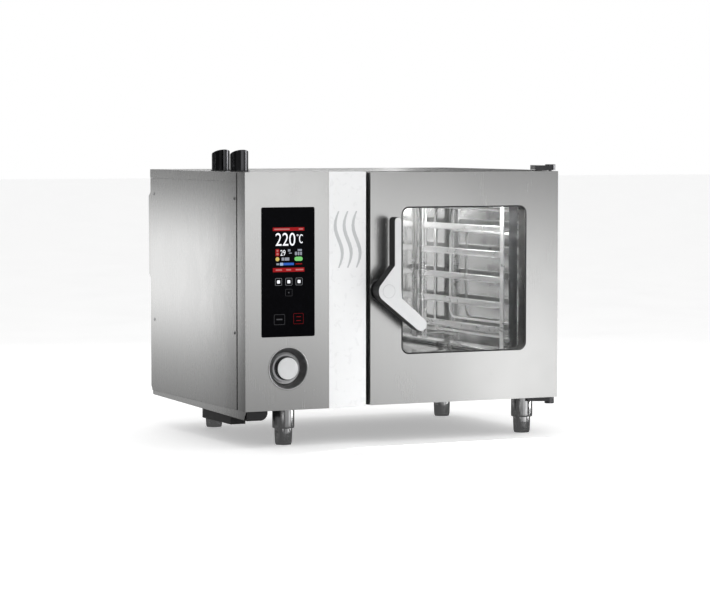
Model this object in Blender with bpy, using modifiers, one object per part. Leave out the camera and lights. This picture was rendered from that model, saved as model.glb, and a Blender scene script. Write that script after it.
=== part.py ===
"""Combi steamer oven with six shelf levels for gastronorm 1/1 pans, as separate pieces.

Units are metres. The origin is on the floor, in the middle of the object's footprint box.
+X points right as the user faces the door, +Y to the rear and +Z up.
"""

import math

import bmesh
import bpy
from mathutils import Matrix, Vector

# Driving dimensions of the casing.
BODY_WIDTH = 0.930
BODY_DEPTH = 0.695
BODY_HEIGHT = 0.626
FOOT_HEIGHT = 0.098
HANDLE_REACH = 0.058  # from the door's face to the handle's face
REAR_COVER_DEPTH = 0.023
FASCIA_WIDTH = 0.240
STRIP_WIDTH = 0.108
DOOR_GAP = 0.013
FASCIA_DEPTH = 0.055
SHEET = 0.0015
GAP = 0.0003
WELD = 0.00001
PAST = 0.01  # how far a cutter runs past the face that it cuts

# Planes that the casing gives.
LEFT = -BODY_WIDTH / 2
RIGHT = BODY_WIDTH / 2
BOTTOM = FOOT_HEIGHT
TOP = BOTTOM + BODY_HEIGHT
FRONT = HANDLE_REACH - (HANDLE_REACH + BODY_DEPTH + REAR_COVER_DEPTH) / 2
REAR = FRONT + BODY_DEPTH
FASCIA_RIGHT = LEFT + FASCIA_WIDTH
STRIP_RIGHT = FASCIA_RIGHT + STRIP_WIDTH
DOOR_LEFT = STRIP_RIGHT + DOOR_GAP
FASCIA_BACK = FRONT + FASCIA_DEPTH
PANEL_FRONT = FASCIA_BACK + 0.003
FRAME_FRONT = FASCIA_BACK + 0.005
FRAME_BACK = FRAME_FRONT + SHEET
ROOF_LIP = 0.024

# Controls.
GLASS_LOW = Vector((LEFT + 0.046, 0, BOTTOM + 0.194))
GLASS_HIGH = Vector((LEFT + 0.198, 0, BOTTOM + 0.534))
GLASS_PROUD = 0.0015
KNOB_X = LEFT + 0.122
KNOB_Z = BOTTOM + 0.110
BOWL_RADIUS = 0.0570
BOWL_DEPTH = 0.024
KNOB_RADIUS = 0.0395

# Door.
WINDOW_LOW = Vector((LEFT + 0.4526, 0, BOTTOM + 0.136))
WINDOW_HIGH = Vector((LEFT + 0.832, 0, BOTTOM + 0.532))
WINDOW_CORNER = 0.022
DOOR_LOW = BOTTOM + 0.003
DOOR_HIGH = TOP - 0.002
DOOR_SKIN_BACK = FRONT + 0.048
DOOR_BACK = FRONT + 0.054
HINGE_X = RIGHT - 0.015
HINGE_Y = FRONT + 0.018
PIN_RADIUS = 0.005

# Handle, about its pivot.
PIVOT_X = DOOR_LEFT + 0.027
PIVOT_Z = BOTTOM + 0.310
HANDLE_STANDOFF = 0.022
HANDLE_FACE = 0.0025
HUB_RADIUS = 0.030
ARM_RADIUS = 0.010
LEG_RADIUS = 0.018
ARM_END = Vector((0.027, 0.186))
ARM_ELBOW = 0.067  # where the arm's left edge turns to the hub
ARM_FOOT = 0.012  # where its right edge ends
LEG_ELBOW = Vector((0.040, -0.021))
LEG_END = Vector((0.095, -0.091))
SEAT_RADIUS = 0.022
LATCH_BAR_HALF = 0.004
SPINDLE_RADIUS = 0.007
NOSE_HALF = 0.011
LATCH_RADIUS = 0.018

# Cavity.
CAVITY_LEFT = LEFT + 0.340
CAVITY_RIGHT = LEFT + 0.876
CAVITY_FRONT = FRONT + 0.085
CAVITY_BACK = FRONT + 0.640
CAVITY_LOW = BOTTOM + 0.105
CAVITY_HIGH = BOTTOM + 0.585
CAVITY_CORNER = 0.020
MOUTH_LOW = Vector((LEFT + 0.420, 0, CAVITY_LOW + 0.007))
MOUTH_HIGH = Vector((LEFT + 0.870, 0, CAVITY_HIGH - 0.007))
LINER_WALL = 0.0015
INSULATION = 0.028
CAVITY_FLOOR_CORNER = Vector((CAVITY_LEFT, 0, CAVITY_LOW))
CAVITY_ROOF_CORNER = Vector((CAVITY_RIGHT, 0, CAVITY_HIGH))

# Racks and fan.
LEVELS = 6
LEVEL_PITCH = 0.070
FIRST_LEVEL = BOTTOM + 0.173
RAIL_FRONT = FRONT + 0.131
RAIL_BACK = FRONT + 0.603
RACK_LEFT = LEFT + 0.480
RACK_RIGHT = LEFT + 0.820
FAN_Y = (CAVITY_FRONT + CAVITY_BACK) / 2
FAN_Z = (CAVITY_LOW + CAVITY_HIGH) / 2
FAN_RADIUS = 0.150
FAN_BLADES = 16
SHAFT_RADIUS = 0.008
BAFFLE_X = LEFT + 0.423
INLET_RADIUS = 0.110

# Drain, latch, motor, water and mains.
DRAIN_X = (RACK_LEFT + RACK_RIGHT) / 2
DRAIN_RADIUS = 0.0175
DRAIN_BELOW = 0.034
LATCH_BACK = CAVITY_FRONT - LINER_WALL - 0.004
MOTOR_END = CAVITY_LEFT - INSULATION - 0.004
MOTOR_RADIUS = 0.060
MOTOR_LENGTH = 0.130
WATER_X = CAVITY_LEFT - INSULATION - 0.122
WATER_Z = FAN_Z + 0.085
INLET_PIPE_RADIUS = 0.010
GLAND_X = LEFT + 0.065
GLAND_Z = BOTTOM + 0.120
GLAND_RADIUS = 0.012
GLAND_BORE = 0.007
RAIL_Z = BOTTOM + 0.100  # the mounting rail of the electrics

# Feet and vent pipes.
FOOT_X = (LEFT + 0.138, LEFT + 0.857)
FOOT_Y = (FRONT + 0.070, FRONT + 0.560)
SLEEVE_RADIUS = 0.0295
SLEEVE_BORE = 0.0248
TIP_HEIGHT = 0.044
VENT_X = LEFT + 0.060
VENT_Y = (FRONT + 0.183, FRONT + 0.313)
VENT_RADIUS = 0.0245
VENT_HEIGHT = 0.058

# Colour, roughness and metallic value of each finish.
FINISHES = {
    "steel": ((0.62, 0.62, 0.61), 0.30, 1.0),
    "polished": ((0.72, 0.72, 0.72), 0.12, 1.0),
    "chrome": ((0.55, 0.55, 0.56), 0.08, 1.0),
    "white": ((0.86, 0.87, 0.87), 0.25, 0.0),
    "black": ((0.02, 0.02, 0.02), 0.45, 0.0),
    "gloss_black": ((0.01, 0.01, 0.01), 0.08, 0.0),
    "light_grey": ((0.70, 0.71, 0.71), 0.40, 0.0),
    "rubber": ((0.03, 0.03, 0.03), 0.75, 0.0),
    "glass": ((0.80, 0.85, 0.84), 0.05, 0.0),
    "board": ((0.02, 0.16, 0.07), 0.50, 0.0),
    "wool": ((0.62, 0.57, 0.40), 0.95, 0.0),
    "brass": ((0.70, 0.50, 0.22), 0.30, 1.0),
    "cast": ((0.30, 0.32, 0.33), 0.55, 1.0),
}


# Scene helpers.


def clear_scene():
    for item in list(bpy.data.objects):
        bpy.data.objects.remove(item)


def new_collection(name):
    made = bpy.data.collections.new(name)
    bpy.context.scene.collection.children.link(made)
    return made


def finish(name, kind):
    """A material of this piece's own, in one of the finishes."""
    colour, roughness, metallic = FINISHES[kind]
    made = bpy.data.materials.new(name)
    made.use_nodes = True
    shader = made.node_tree.nodes["Principled BSDF"]
    shader.inputs["Base Color"].default_value = (*colour, 1.0)
    shader.inputs["Roughness"].default_value = roughness
    shader.inputs["Metallic"].default_value = metallic
    if kind == "glass":
        shader.inputs["Alpha"].default_value = 0.3
    made.diffuse_color = (*colour, 1.0)
    return made


def to_object(name, shape, place, home):
    """An object at a place, from a shape that is given in world coordinates."""
    bmesh.ops.translate(shape, vec=-Vector(place), verts=shape.verts)
    mesh = bpy.data.meshes.new(name)
    shape.to_mesh(mesh)
    shape.free()
    made = bpy.data.objects.new(name, mesh)
    made.location = place
    home.objects.link(made)
    return made


def middle_of(shape):
    corners = [vert.co for vert in shape.verts]
    low = Vector([min(co[i] for co in corners) for i in range(3)])
    high = Vector([max(co[i] for co in corners) for i in range(3)])
    return (low + high) / 2


def piece(name, shape, kind):
    """A visible piece, with its origin at its middle."""
    made = to_object(name, shape, middle_of(shape), PARTS)
    made.data.materials.append(finish(name, kind))
    made.data.shade_smooth()
    made.data.set_sharp_from_angle(angle=math.radians(35))
    return made


def helper(name, shape):
    """A cutter, or a shape that is joined to a piece."""
    made = to_object(name, shape, middle_of(shape), CUTTERS)
    made.hide_render = True
    made.display_type = "WIRE"
    return made


def combine(target, shape, operation):
    modifier = target.modifiers.new(operation.title(), "BOOLEAN")
    modifier.operation = operation
    modifier.solver = "EXACT"
    modifier.object = helper(f"{target.name}_{len(target.modifiers)}", shape)
    return target


def cut(target, *shapes):
    for shape in shapes:
        combine(target, shape, "DIFFERENCE")
    return target


def join(target, *shapes):
    for shape in shapes:
        combine(target, shape, "UNION")
    return target


def joint_empty(name, place):
    """An empty on a joint's axis, which the pieces of that moving body hang from."""
    made = bpy.data.objects.new(name, None)
    made.location = place
    made.empty_display_size = 0.05
    PARTS.objects.link(made)
    return made


def hang(parent, *pieces):
    """Parents pieces to an empty and leaves them where they are."""
    for item in pieces:
        item.parent = parent
        item.location = item.location - parent.location


# Shapes, each a bmesh in world coordinates.


def block(low, high, radius=0.0, along=None, segments=5):
    """A box between two corners, with the four edges along one axis rounded."""
    low, high = Vector(low), Vector(high)
    shape = bmesh.new()
    bmesh.ops.create_cube(shape, size=1.0)
    bmesh.ops.scale(shape, vec=high - low, verts=shape.verts)
    bmesh.ops.translate(shape, vec=(low + high) / 2, verts=shape.verts)
    if along is not None:
        edges = [e for e in shape.edges if is_along(e, along)]
        bmesh.ops.bevel(shape, geom=edges, offset=radius, segments=segments,
                        profile=0.5, affect="EDGES")
    return shape


def is_along(edge, axis):
    run = edge.verts[1].co - edge.verts[0].co
    return abs(run[axis]) > 0.999 * run.length


def pane(low, high, front, back, radius, segments=5):
    """A block between two planes in Y, with its corners rounded as seen from the front."""
    return block((low[0], front, low[2]), (high[0], back, high[2]), radius, 1, segments)


def grown(low, high, margin):
    """The corners of a front outline, moved outwards in X and Z."""
    step = Vector((margin, 0, margin))
    return low - step, high + step


def turning(axis):
    return Vector(axis).to_track_quat("Z", "Y").to_matrix().to_4x4()


def rod(start, end, radius, end_radius=None, sides=24):
    start, end = Vector(start), Vector(end)
    shape = bmesh.new()
    end_radius = radius if end_radius is None else end_radius
    bmesh.ops.create_cone(shape, cap_ends=True, segments=sides, radius1=radius,
                          radius2=end_radius, depth=(end - start).length)
    place = Matrix.Translation((start + end) / 2) @ turning(end - start)
    bmesh.ops.transform(shape, matrix=place, verts=shape.verts)
    return shape


def together(shapes):
    """One shape that holds several, which don't touch each other."""
    whole = bmesh.new()
    for shape in shapes:
        held = bpy.data.meshes.new("held")
        shape.to_mesh(held)
        shape.free()
        whole.from_mesh(held)
        bpy.data.meshes.remove(held)
    return whole


def from_curve(curve):
    """The solid that a curve makes, with its loose caps welded."""
    guide = bpy.data.objects.new("guide", curve)
    bpy.context.scene.collection.objects.link(guide)
    bpy.context.view_layer.update()
    graph = bpy.context.evaluated_depsgraph_get()
    mesh = bpy.data.meshes.new_from_object(guide.evaluated_get(graph))
    shape = bmesh.new()
    shape.from_mesh(mesh)
    bmesh.ops.remove_doubles(shape, verts=shape.verts, dist=WELD)
    bmesh.ops.recalc_face_normals(shape, faces=shape.faces)
    bpy.data.objects.remove(guide)
    return shape


def outline(points, depth, place=None):
    """A flat outline in XY, extruded by half its depth to each side."""
    curve = bpy.data.curves.new("outline", "CURVE")
    curve.dimensions = "2D"
    curve.fill_mode = "BOTH"
    curve.extrude = depth / 2
    spline = curve.splines.new("POLY")
    spline.points.add(len(points) - 1)
    for point, at in zip(spline.points, points):
        point.co = (at[0], at[1], 0, 1)
    spline.use_cyclic_u = True
    shape = from_curve(curve)
    if place is not None:
        bmesh.ops.transform(shape, matrix=place, verts=shape.verts)
    return shape


def pipe(points, radius, closed=False):
    """A round tube along points, with filled ends."""
    curve = bpy.data.curves.new("pipe", "CURVE")
    curve.dimensions = "3D"
    curve.bevel_depth = radius
    curve.bevel_resolution = 2
    curve.use_fill_caps = not closed
    spline = curve.splines.new("POLY")
    spline.points.add(len(points) - 1)
    for point, at in zip(spline.points, points):
        point.co = (*at, 1)
    spline.use_cyclic_u = closed
    return from_curve(curve)


def arc(centre, radius, start, end, steps):
    """Points on an arc in a plane, angles in degrees."""
    found = []
    for i in range(steps + 1):
        angle = math.radians(start + (end - start) * i / steps)
        found.append(Vector((centre[0] + radius * math.cos(angle),
                             centre[1] + radius * math.sin(angle))))
    return found


def tray(name, low, high, open_sides, wall, kind):
    """A box of sheet metal with the sides named in open_sides left off, such as '+y'."""
    shape = block(low, high)
    for face in list(shape.faces):
        axis = max(range(3), key=lambda i: abs(face.normal[i]))
        side = ("-" if face.normal[axis] < 0 else "+") + "xyz"[axis]
        if side in open_sides:
            bmesh.ops.delete(shape, geom=[face], context="FACES_ONLY")
    made = piece(name, shape, kind)
    shell = made.modifiers.new("Sheet", "SOLIDIFY")
    shell.thickness = wall
    shell.offset = -1.0
    shell.use_even_offset = True
    return made


def turned(name, profile, base, axis, kind, sides=32):
    """A piece turned about an axis. The profile holds (radius, height) points."""
    mesh = bpy.data.meshes.new(name)
    points = [(radius, 0, height) for radius, height in profile]
    closed = profile[0][0] > WELD and profile[-1][0] > WELD
    count = len(points)
    edges = [(i, (i + 1) % count) for i in range(count if closed else count - 1)]
    mesh.from_pydata(points, edges, [])
    made = bpy.data.objects.new(name, mesh)
    made.location = base
    made.rotation_euler = turning(axis).to_euler()
    made.data.materials.append(finish(name, kind))
    PARTS.objects.link(made)
    screw = made.modifiers.new("Turn", "SCREW")
    screw.steps = sides
    screw.render_steps = sides
    screw.use_merge_vertices = True
    screw.merge_threshold = WELD
    screw.use_smooth_shade = True
    return made


# Casing.


def make_side_panels():
    """Two flat side sheets with their lower rear corner cut off."""
    rear = REAR - 0.002
    notch = 0.009
    for name, low_x in (("left_side_panel", LEFT), ("right_side_panel", RIGHT - SHEET)):
        panel = piece(name, block((low_x, PANEL_FRONT, BOTTOM),
                                  (low_x + SHEET, rear, TOP - ROOF_LIP - GAP)), "steel")
        corner = block((-1, -notch, -notch), (1, notch, notch))
        place = Matrix.Translation((0, rear, BOTTOM)) @ Matrix.Rotation(math.pi / 4, 4, "X")
        bmesh.ops.transform(corner, matrix=place, verts=corner.verts)
        cut(panel, corner)


def make_roof():
    """The roof sheet, with lips down all round and two holes for the vent pipes."""
    roof = tray("roof_panel", (LEFT, PANEL_FRONT, TOP - ROOF_LIP), (RIGHT, REAR, TOP),
                ("-z",), SHEET, "steel")
    holes = [rod((VENT_X, y, TOP - PAST), (VENT_X, y, TOP + PAST), VENT_RADIUS + GAP)
             for y in VENT_Y]
    cut(roof, together(holes))


def across(x, y):
    """Places an outline that is drawn in Y and Z, so that it is extruded along X."""
    return Matrix.Translation((x, y, 0)) @ Matrix.Rotation(
        math.pi / 2, 4, "Z") @ Matrix.Rotation(math.pi / 2, 4, "X")


def make_rear():
    """The flat rear sheet, with louvres and the holes for the water and the mains."""
    inset = SHEET + GAP
    face = REAR - 0.002
    rear = piece("rear_panel", block((LEFT + inset, face - SHEET, BOTTOM + 0.012),
                                     (RIGHT - inset, face, TOP - ROOF_LIP - GAP)), "steel")
    louvre, pitch, first = 0.006, 0.020, BOTTOM + 0.360
    slots = [block((LEFT + 0.06, REAR - 0.02, first + pitch * i),
                   (LEFT + 0.30, REAR + 0.02, first + pitch * i + louvre)) for i in range(8)]
    cut(rear, together(slots))
    holes = [rod((x, REAR - 0.02, z), (x, REAR + 0.02, z), radius + GAP)
             for x, z, radius in ((WATER_X, WATER_Z, INLET_PIPE_RADIUS),
                                  (GLAND_X, GLAND_Z, GLAND_RADIUS))]
    cut(rear, together(holes))


def make_rear_cover():
    """The cover that stands out behind the louvres, open towards them."""
    low, high, slant = BOTTOM + 0.310, BOTTOM + 0.570, 0.020
    start, end = LEFT + 0.004, LEFT + 0.350
    face = REAR - 0.002 + GAP
    depth = REAR + REAR_COVER_DEPTH - face
    place = across((start + end) / 2, face)
    side = [(0, low), (depth, low + slant), (depth, high - slant), (0, high)]
    cover = piece("rear_cover", outline(side, end - start, place), "steel")
    wall, slope = 0.0021, 0.002
    hollow = [(-PAST, low + slope), (depth - wall, low + slant + slope),
              (depth - wall, high - slant - slope), (-PAST, high - slope)]
    cut(cover, outline(hollow, end - start - 2 * SHEET, place))


def make_base():
    """The floor sheet with an upturned rim, and the drain hole."""
    inset = SHEET + GAP
    base = tray("base_frame", (LEFT + inset, FRAME_BACK + GAP, BOTTOM),
                (RIGHT - inset, REAR - 0.004, BOTTOM + 0.012), ("+z",), 0.002, "steel")
    cut(base, rod((DRAIN_X, FAN_Y, BOTTOM - PAST), (DRAIN_X, FAN_Y, BOTTOM + PAST),
                  DRAIN_RADIUS + 0.0035))


def make_skirt():
    """The tapered strip that hangs below the left side."""
    front, back = FRONT + 0.002, REAR - 0.014
    side = [(front, BOTTOM - GAP), (front + 0.012, BOTTOM - 0.0225),
            (back, BOTTOM - 0.0115), (back + 0.006, BOTTOM - GAP)]
    shape = outline(side, 0.002, across(LEFT + 0.003, 0))
    shear = Matrix.Identity(4)
    shear[0][2] = 0.08
    pivot = Matrix.Translation((0, 0, BOTTOM))
    bmesh.ops.transform(shape, matrix=pivot @ shear @ pivot.inverted(), verts=shape.verts)
    piece("left_skirt", shape, "steel")


def make_underside():
    """The black splash box and the air duct under the technical side, both open above."""
    side, top = LEFT + 0.0055, BOTTOM - GAP
    wall = Vector((0.0025, 0.0025, 0.0025))
    low = Vector((side, FRONT + 0.115, BOTTOM - 0.0436))
    high = Vector((LEFT + 0.048, FRONT + 0.317, top))
    box = piece("underside_box", block(low, high), "black")
    cut(box, block(low + wall, high - wall + Vector((0, 0, 2 * PAST))))
    low = Vector((side, FRONT + 0.003, BOTTOM - 0.0245))
    high = Vector((LEFT + 0.0645, FRONT + 0.1145, top))
    turn = 0.020
    duct = block(low, high)
    edges = [e for e in duct.edges if is_along(e, 1)
             and all(v.co.x > low.x + wall.x and v.co.z < high.z - wall.z for v in e.verts)]
    bmesh.ops.bevel(duct, geom=edges, offset=turn, segments=6, profile=0.5, affect="EDGES")
    made = piece("air_duct", duct, "black")
    hollow = Vector((high.x - turn, high.y, high.z)) - wall + Vector((0, 0, 2 * PAST))
    cut(made, block(low + wall, hollow))


def make_front_frame():
    """The cabinet's front sheet, with the cavity's mouth and the latch's hole."""
    frame = piece("front_frame",
                  block((DOOR_LEFT - 0.050, FRAME_FRONT, BOTTOM + 0.002),
                        (RIGHT - SHEET - GAP, FRAME_BACK, TOP - SHEET - GAP)), "steel")
    cut(frame, pane(MOUTH_LOW, MOUTH_HIGH, FRAME_FRONT - PAST, FRAME_BACK + PAST,
                    CAVITY_CORNER))
    cut(frame, rod((PIVOT_X, FRAME_FRONT - PAST, PIVOT_Z),
                   (PIVOT_X, FRAME_BACK + PAST, PIVOT_Z), LATCH_RADIUS))


# Front trim and controls.


def make_fascia():
    """The control panel's sheet, with a window for the glass and a hole for the bowl."""
    fascia = tray("control_fascia", (LEFT, FRONT, BOTTOM),
                  (FASCIA_RIGHT, FASCIA_BACK, TOP), ("+y",), SHEET, "steel")
    low, high = grown(GLASS_LOW, GLASS_HIGH, GAP)
    cut(fascia, pane(low, high, FRONT - PAST, FRONT + PAST, 0.004, 3))
    cut(fascia, rod((KNOB_X, FRONT - PAST, KNOB_Z), (KNOB_X, FRONT + PAST, KNOB_Z),
                    BOWL_RADIUS - 0.0015, sides=48))


def make_strip():
    """The white strip beside the fascia, and the black channel beside the door."""
    tray("trim_strip", (FASCIA_RIGHT + GAP, FRONT, BOTTOM), (STRIP_RIGHT, FASCIA_BACK, TOP),
         ("+y",), SHEET, "white")
    tray("gap_channel", (STRIP_RIGHT + GAP, FRONT + 0.030, BOTTOM + 0.003),
         (DOOR_LEFT - 0.003, FASCIA_BACK, TOP - 0.003), ("+y",), SHEET, "black")


def make_control_glass():
    """The touch glass, the display behind it and the board that drives them."""
    low, high = GLASS_LOW, GLASS_HIGH
    piece("control_glass", pane(low, high, FRONT - GLASS_PROUD, FRONT + 0.0035, 0.004, 3),
          "gloss_black")
    middle_x = (low.x + high.x) / 2
    piece("display_module", block((middle_x - 0.048, FRONT + 0.0038, high.z - 0.190),
                                  (middle_x + 0.048, FRONT + 0.012, high.z - 0.040)),
          "black")
    board = piece("control_board", block((low.x + 0.006, FRONT + 0.018, low.z + 0.010),
                                         (high.x - 0.006, FRONT + 0.020, high.z - 0.010)),
                  "board")
    chips = [block((middle_x + dx - 0.012, FRONT + 0.0195, low.z + dz - 0.012),
                   (middle_x + dx + 0.012, FRONT + 0.027, low.z + dz + 0.012))
             for dx in (-0.038, 0.038) for dz in (0.060, 0.130, 0.200)]
    join(board, together(chips))


def make_knob():
    """The dished bowl, and the knob on its push shaft."""
    face = (KNOB_X, FRONT, KNOB_Z)
    depth = BOWL_DEPTH
    lip, floor, wall = BOWL_RADIUS, KNOB_RADIUS + 0.002, 0.0015
    turned("knob_bowl", [
        (lip, 0.0008), (lip, GAP), (lip - 0.002, GAP), (lip - 0.002, -0.002),
        (floor, -depth), (SHAFT_RADIUS + 0.004, -depth),
        (SHAFT_RADIUS + 0.004, wall - depth), (floor - 0.001, wall - depth),
        (lip - 0.004, -0.001), (lip - 0.002, 0.0008)], face, (0, -1, 0), "black", 36)
    pivot = joint_empty("encoder_push_axis", face)
    shaft = turned("encoder_shaft", [
        (0, 0.006 - depth + 0.004), (0.003, 0.010 - depth), (0.003, -0.006 - depth),
        (0.009, -0.006 - depth), (0.009, -0.012 - depth), (0, -0.012 - depth)],
        face, (0, -1, 0), "steel", 16)
    knob = turned("knob", [
        (0, 0.0005), (0.0280, 0.0005), (0.0295, -0.0010), (0.0300, -0.0030),
        (0.0345, 0.0050 - depth), (KNOB_RADIUS - 0.002, 0.0050 - depth),
        (KNOB_RADIUS - 0.002, wall + 0.0025 - depth), (0.0040, wall + 0.0025 - depth),
        (0.0040, 0.012 - depth), (0, 0.012 - depth)], face, (0, -1, 0), "light_grey", 36)
    hang(pivot, shaft)
    spin = joint_empty("knob_turn_axis", face)
    hang(spin, knob)


# Door.


def make_door():
    """The outer skin, both panes and the inner frame that carries them."""
    swing = joint_empty("door_swing_axis", (HINGE_X, HINGE_Y, (DOOR_LOW + DOOR_HIGH) / 2))
    skin = tray("door_skin", (DOOR_LEFT, FRONT, DOOR_LOW), (RIGHT, DOOR_SKIN_BACK, DOOR_HIGH),
                ("+y",), SHEET, "steel")
    cut(skin, pane(WINDOW_LOW, WINDOW_HIGH, FRONT - PAST, FRONT + PAST, WINDOW_CORNER, 6))
    cut(skin, rod((PIVOT_X, FRONT - PAST, PIVOT_Z), (PIVOT_X, FRONT + PAST, PIVOT_Z), 0.012))
    cut(skin, rod((HINGE_X, HINGE_Y, BOTTOM - PAST), (HINGE_X, HINGE_Y, TOP + PAST),
                  PIN_RADIUS + 0.0008, sides=20))
    low, high = grown(WINDOW_LOW, WINDOW_HIGH, 0.018)
    start = FRONT + SHEET + GAP
    outer = piece("outer_glass", pane(low, high, start, start + 0.005, 0.026), "glass")
    low, high = grown(WINDOW_LOW, WINDOW_HIGH, 0.026)
    inner = piece("inner_glass", pane(low, high, DOOR_BACK + GAP, DOOR_BACK + 0.0045, 0.012),
                  "glass")
    frame = tray("door_inner_frame", (DOOR_LEFT + 0.006, start + 0.0065, DOOR_LOW + 0.010),
                 (HINGE_X - PIN_RADIUS - 0.006, DOOR_BACK, DOOR_HIGH - 0.010), ("-y",),
                 SHEET, "steel")
    low, high = grown(WINDOW_LOW, WINDOW_HIGH, 0.004)
    cut(frame, pane(low, high, DOOR_BACK - PAST, DOOR_BACK + PAST, WINDOW_CORNER, 6))
    cut(frame, rod((PIVOT_X, DOOR_BACK - PAST, PIVOT_Z), (PIVOT_X, DOOR_BACK + PAST, PIVOT_Z),
                   0.012))
    hang(swing, skin, outer, inner, frame)


def make_hinge(name, outline_points, plate, boss, pin):
    """A bracket with a round boss, and the pin in it. The last three give heights."""
    place = Matrix.Translation((0, 0, sum(plate) / 2))
    bracket = piece(f"{name}_hinge_bracket",
                    outline(outline_points, plate[1] - plate[0], place), "polished")
    radius, boss_low, boss_high = boss
    join(bracket, rod((HINGE_X, HINGE_Y, boss_low), (HINGE_X, HINGE_Y, boss_high), radius))
    hole_low = pin[0] - (GAP if name == "bottom" else PAST)
    hole_high = pin[1] + (GAP if name == "top" else PAST)
    cut(bracket, rod((HINGE_X, HINGE_Y, hole_low), (HINGE_X, HINGE_Y, hole_high),
                     PIN_RADIUS + GAP, sides=20))
    piece(f"{name}_hinge_pin", rod((HINGE_X, HINGE_Y, pin[0]), (HINGE_X, HINGE_Y, pin[1]),
                                   PIN_RADIUS, sides=20), "polished")


def make_hinges():
    """A bracket and a pin above the door, and the same below it."""
    end = RIGHT - 0.077
    back = FRONT + 0.110
    boss = 0.014
    top = [(end + 0.007, HINGE_Y - boss), (HINGE_X, HINGE_Y - boss), (HINGE_X, back),
           (end + 0.050, back)]
    make_hinge("top", top, (TOP + GAP, TOP + 0.0135), (boss, TOP + GAP, TOP + 0.0165),
               (TOP - 0.026, TOP + 0.0125))
    foot_edge = FOOT_X[1] + SLEEVE_RADIUS + 0.002
    foot_front = FOOT_Y[0] - SLEEVE_RADIUS - 0.002
    boss = 0.013
    bottom = [(end, foot_front - 0.010), (HINGE_X, HINGE_Y - boss), (HINGE_X + boss, HINGE_Y),
              (HINGE_X + boss, back), (foot_edge, back), (foot_edge, foot_front),
              (end, foot_front)]
    make_hinge("bottom", bottom, (BOTTOM - 0.009, BOTTOM - GAP),
               (boss, BOTTOM - 0.0155, BOTTOM + 0.0015), (BOTTOM - 0.010, BOTTOM + 0.028))


# Handle and latch.


def handle_outline(inset=0.0):
    """The handle's outline about its pivot, X right and Z up, in metres."""
    leg_angle = math.degrees(math.atan2(LEG_END.y, LEG_END.x))
    left_x, right_x = ARM_END.x - ARM_RADIUS + inset, ARM_END.x + ARM_RADIUS - inset
    points = arc(ARM_END, ARM_RADIUS - inset, 0, 180, 8)
    points.append(Vector((left_x, ARM_ELBOW + inset / 2)))
    points += arc((0, 0), HUB_RADIUS - inset, 150, 225, 6)
    points += arc(LEG_END, LEG_RADIUS - inset, leg_angle - 90, leg_angle + 90, 10)
    points.append(Vector((LEG_ELBOW.x - inset, LEG_ELBOW.y + inset / 2)))
    points.append(Vector((right_x, ARM_FOOT)))
    return points


def to_door(y):
    """Places an outline about the handle's pivot on a plane in front of the door."""
    return Matrix.Translation((PIVOT_X, y, PIVOT_Z)) @ Matrix.Rotation(math.pi / 2, 4, "X")


def make_handle():
    """The black body, its light face and cap, and the spindle with its latch nose."""
    turn = joint_empty("handle_turn_axis", (PIVOT_X, FRONT, PIVOT_Z))
    face = FRONT - HANDLE_REACH
    body_front = face + HANDLE_FACE + GAP
    body_back = FRONT - HANDLE_STANDOFF
    body = piece("handle_body", outline(handle_outline(), body_back - body_front,
                                        to_door((body_front + body_back) / 2)), "black")
    join(body, rod((PIVOT_X, body_back - 0.004, PIVOT_Z), (PIVOT_X, FRONT - 0.001, PIVOT_Z),
                   SEAT_RADIUS, SEAT_RADIUS + 0.002, 32))
    cut(body, rod((PIVOT_X, FRONT - 0.030, PIVOT_Z), (PIVOT_X, FRONT + PAST, PIVOT_Z),
                  SPINDLE_RADIUS + GAP))
    plate = piece("handle_face", outline(handle_outline(0.001), HANDLE_FACE,
                                         to_door(face + HANDLE_FACE / 2)), "light_grey")
    nose_back = LATCH_BACK - 0.004
    spindle = piece("latch_spindle", rod((PIVOT_X, FRONT - 0.0295, PIVOT_Z),
                                         (PIVOT_X, nose_back - 0.003, PIVOT_Z),
                                         SPINDLE_RADIUS), "polished")
    join(spindle, block((PIVOT_X - LATCH_BAR_HALF, nose_back - 0.006, PIVOT_Z - NOSE_HALF),
                        (PIVOT_X + LATCH_BAR_HALF, nose_back, PIVOT_Z + NOSE_HALF)))
    hang(turn, body, plate, spindle)


def make_keeper():
    """The latch's keeper behind the front sheet. It is open to the front."""
    keeper = piece("latch_keeper", block((PIVOT_X - 0.024, FRAME_BACK + GAP, PIVOT_Z - 0.030),
                                         (PIVOT_X + 0.024, LATCH_BACK + 0.002,
                                          PIVOT_Z + 0.030)), "polished")
    cut(keeper, rod((PIVOT_X, FRAME_FRONT, PIVOT_Z), (PIVOT_X, LATCH_BACK, PIVOT_Z),
                    LATCH_RADIUS))


# Cavity.


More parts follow.
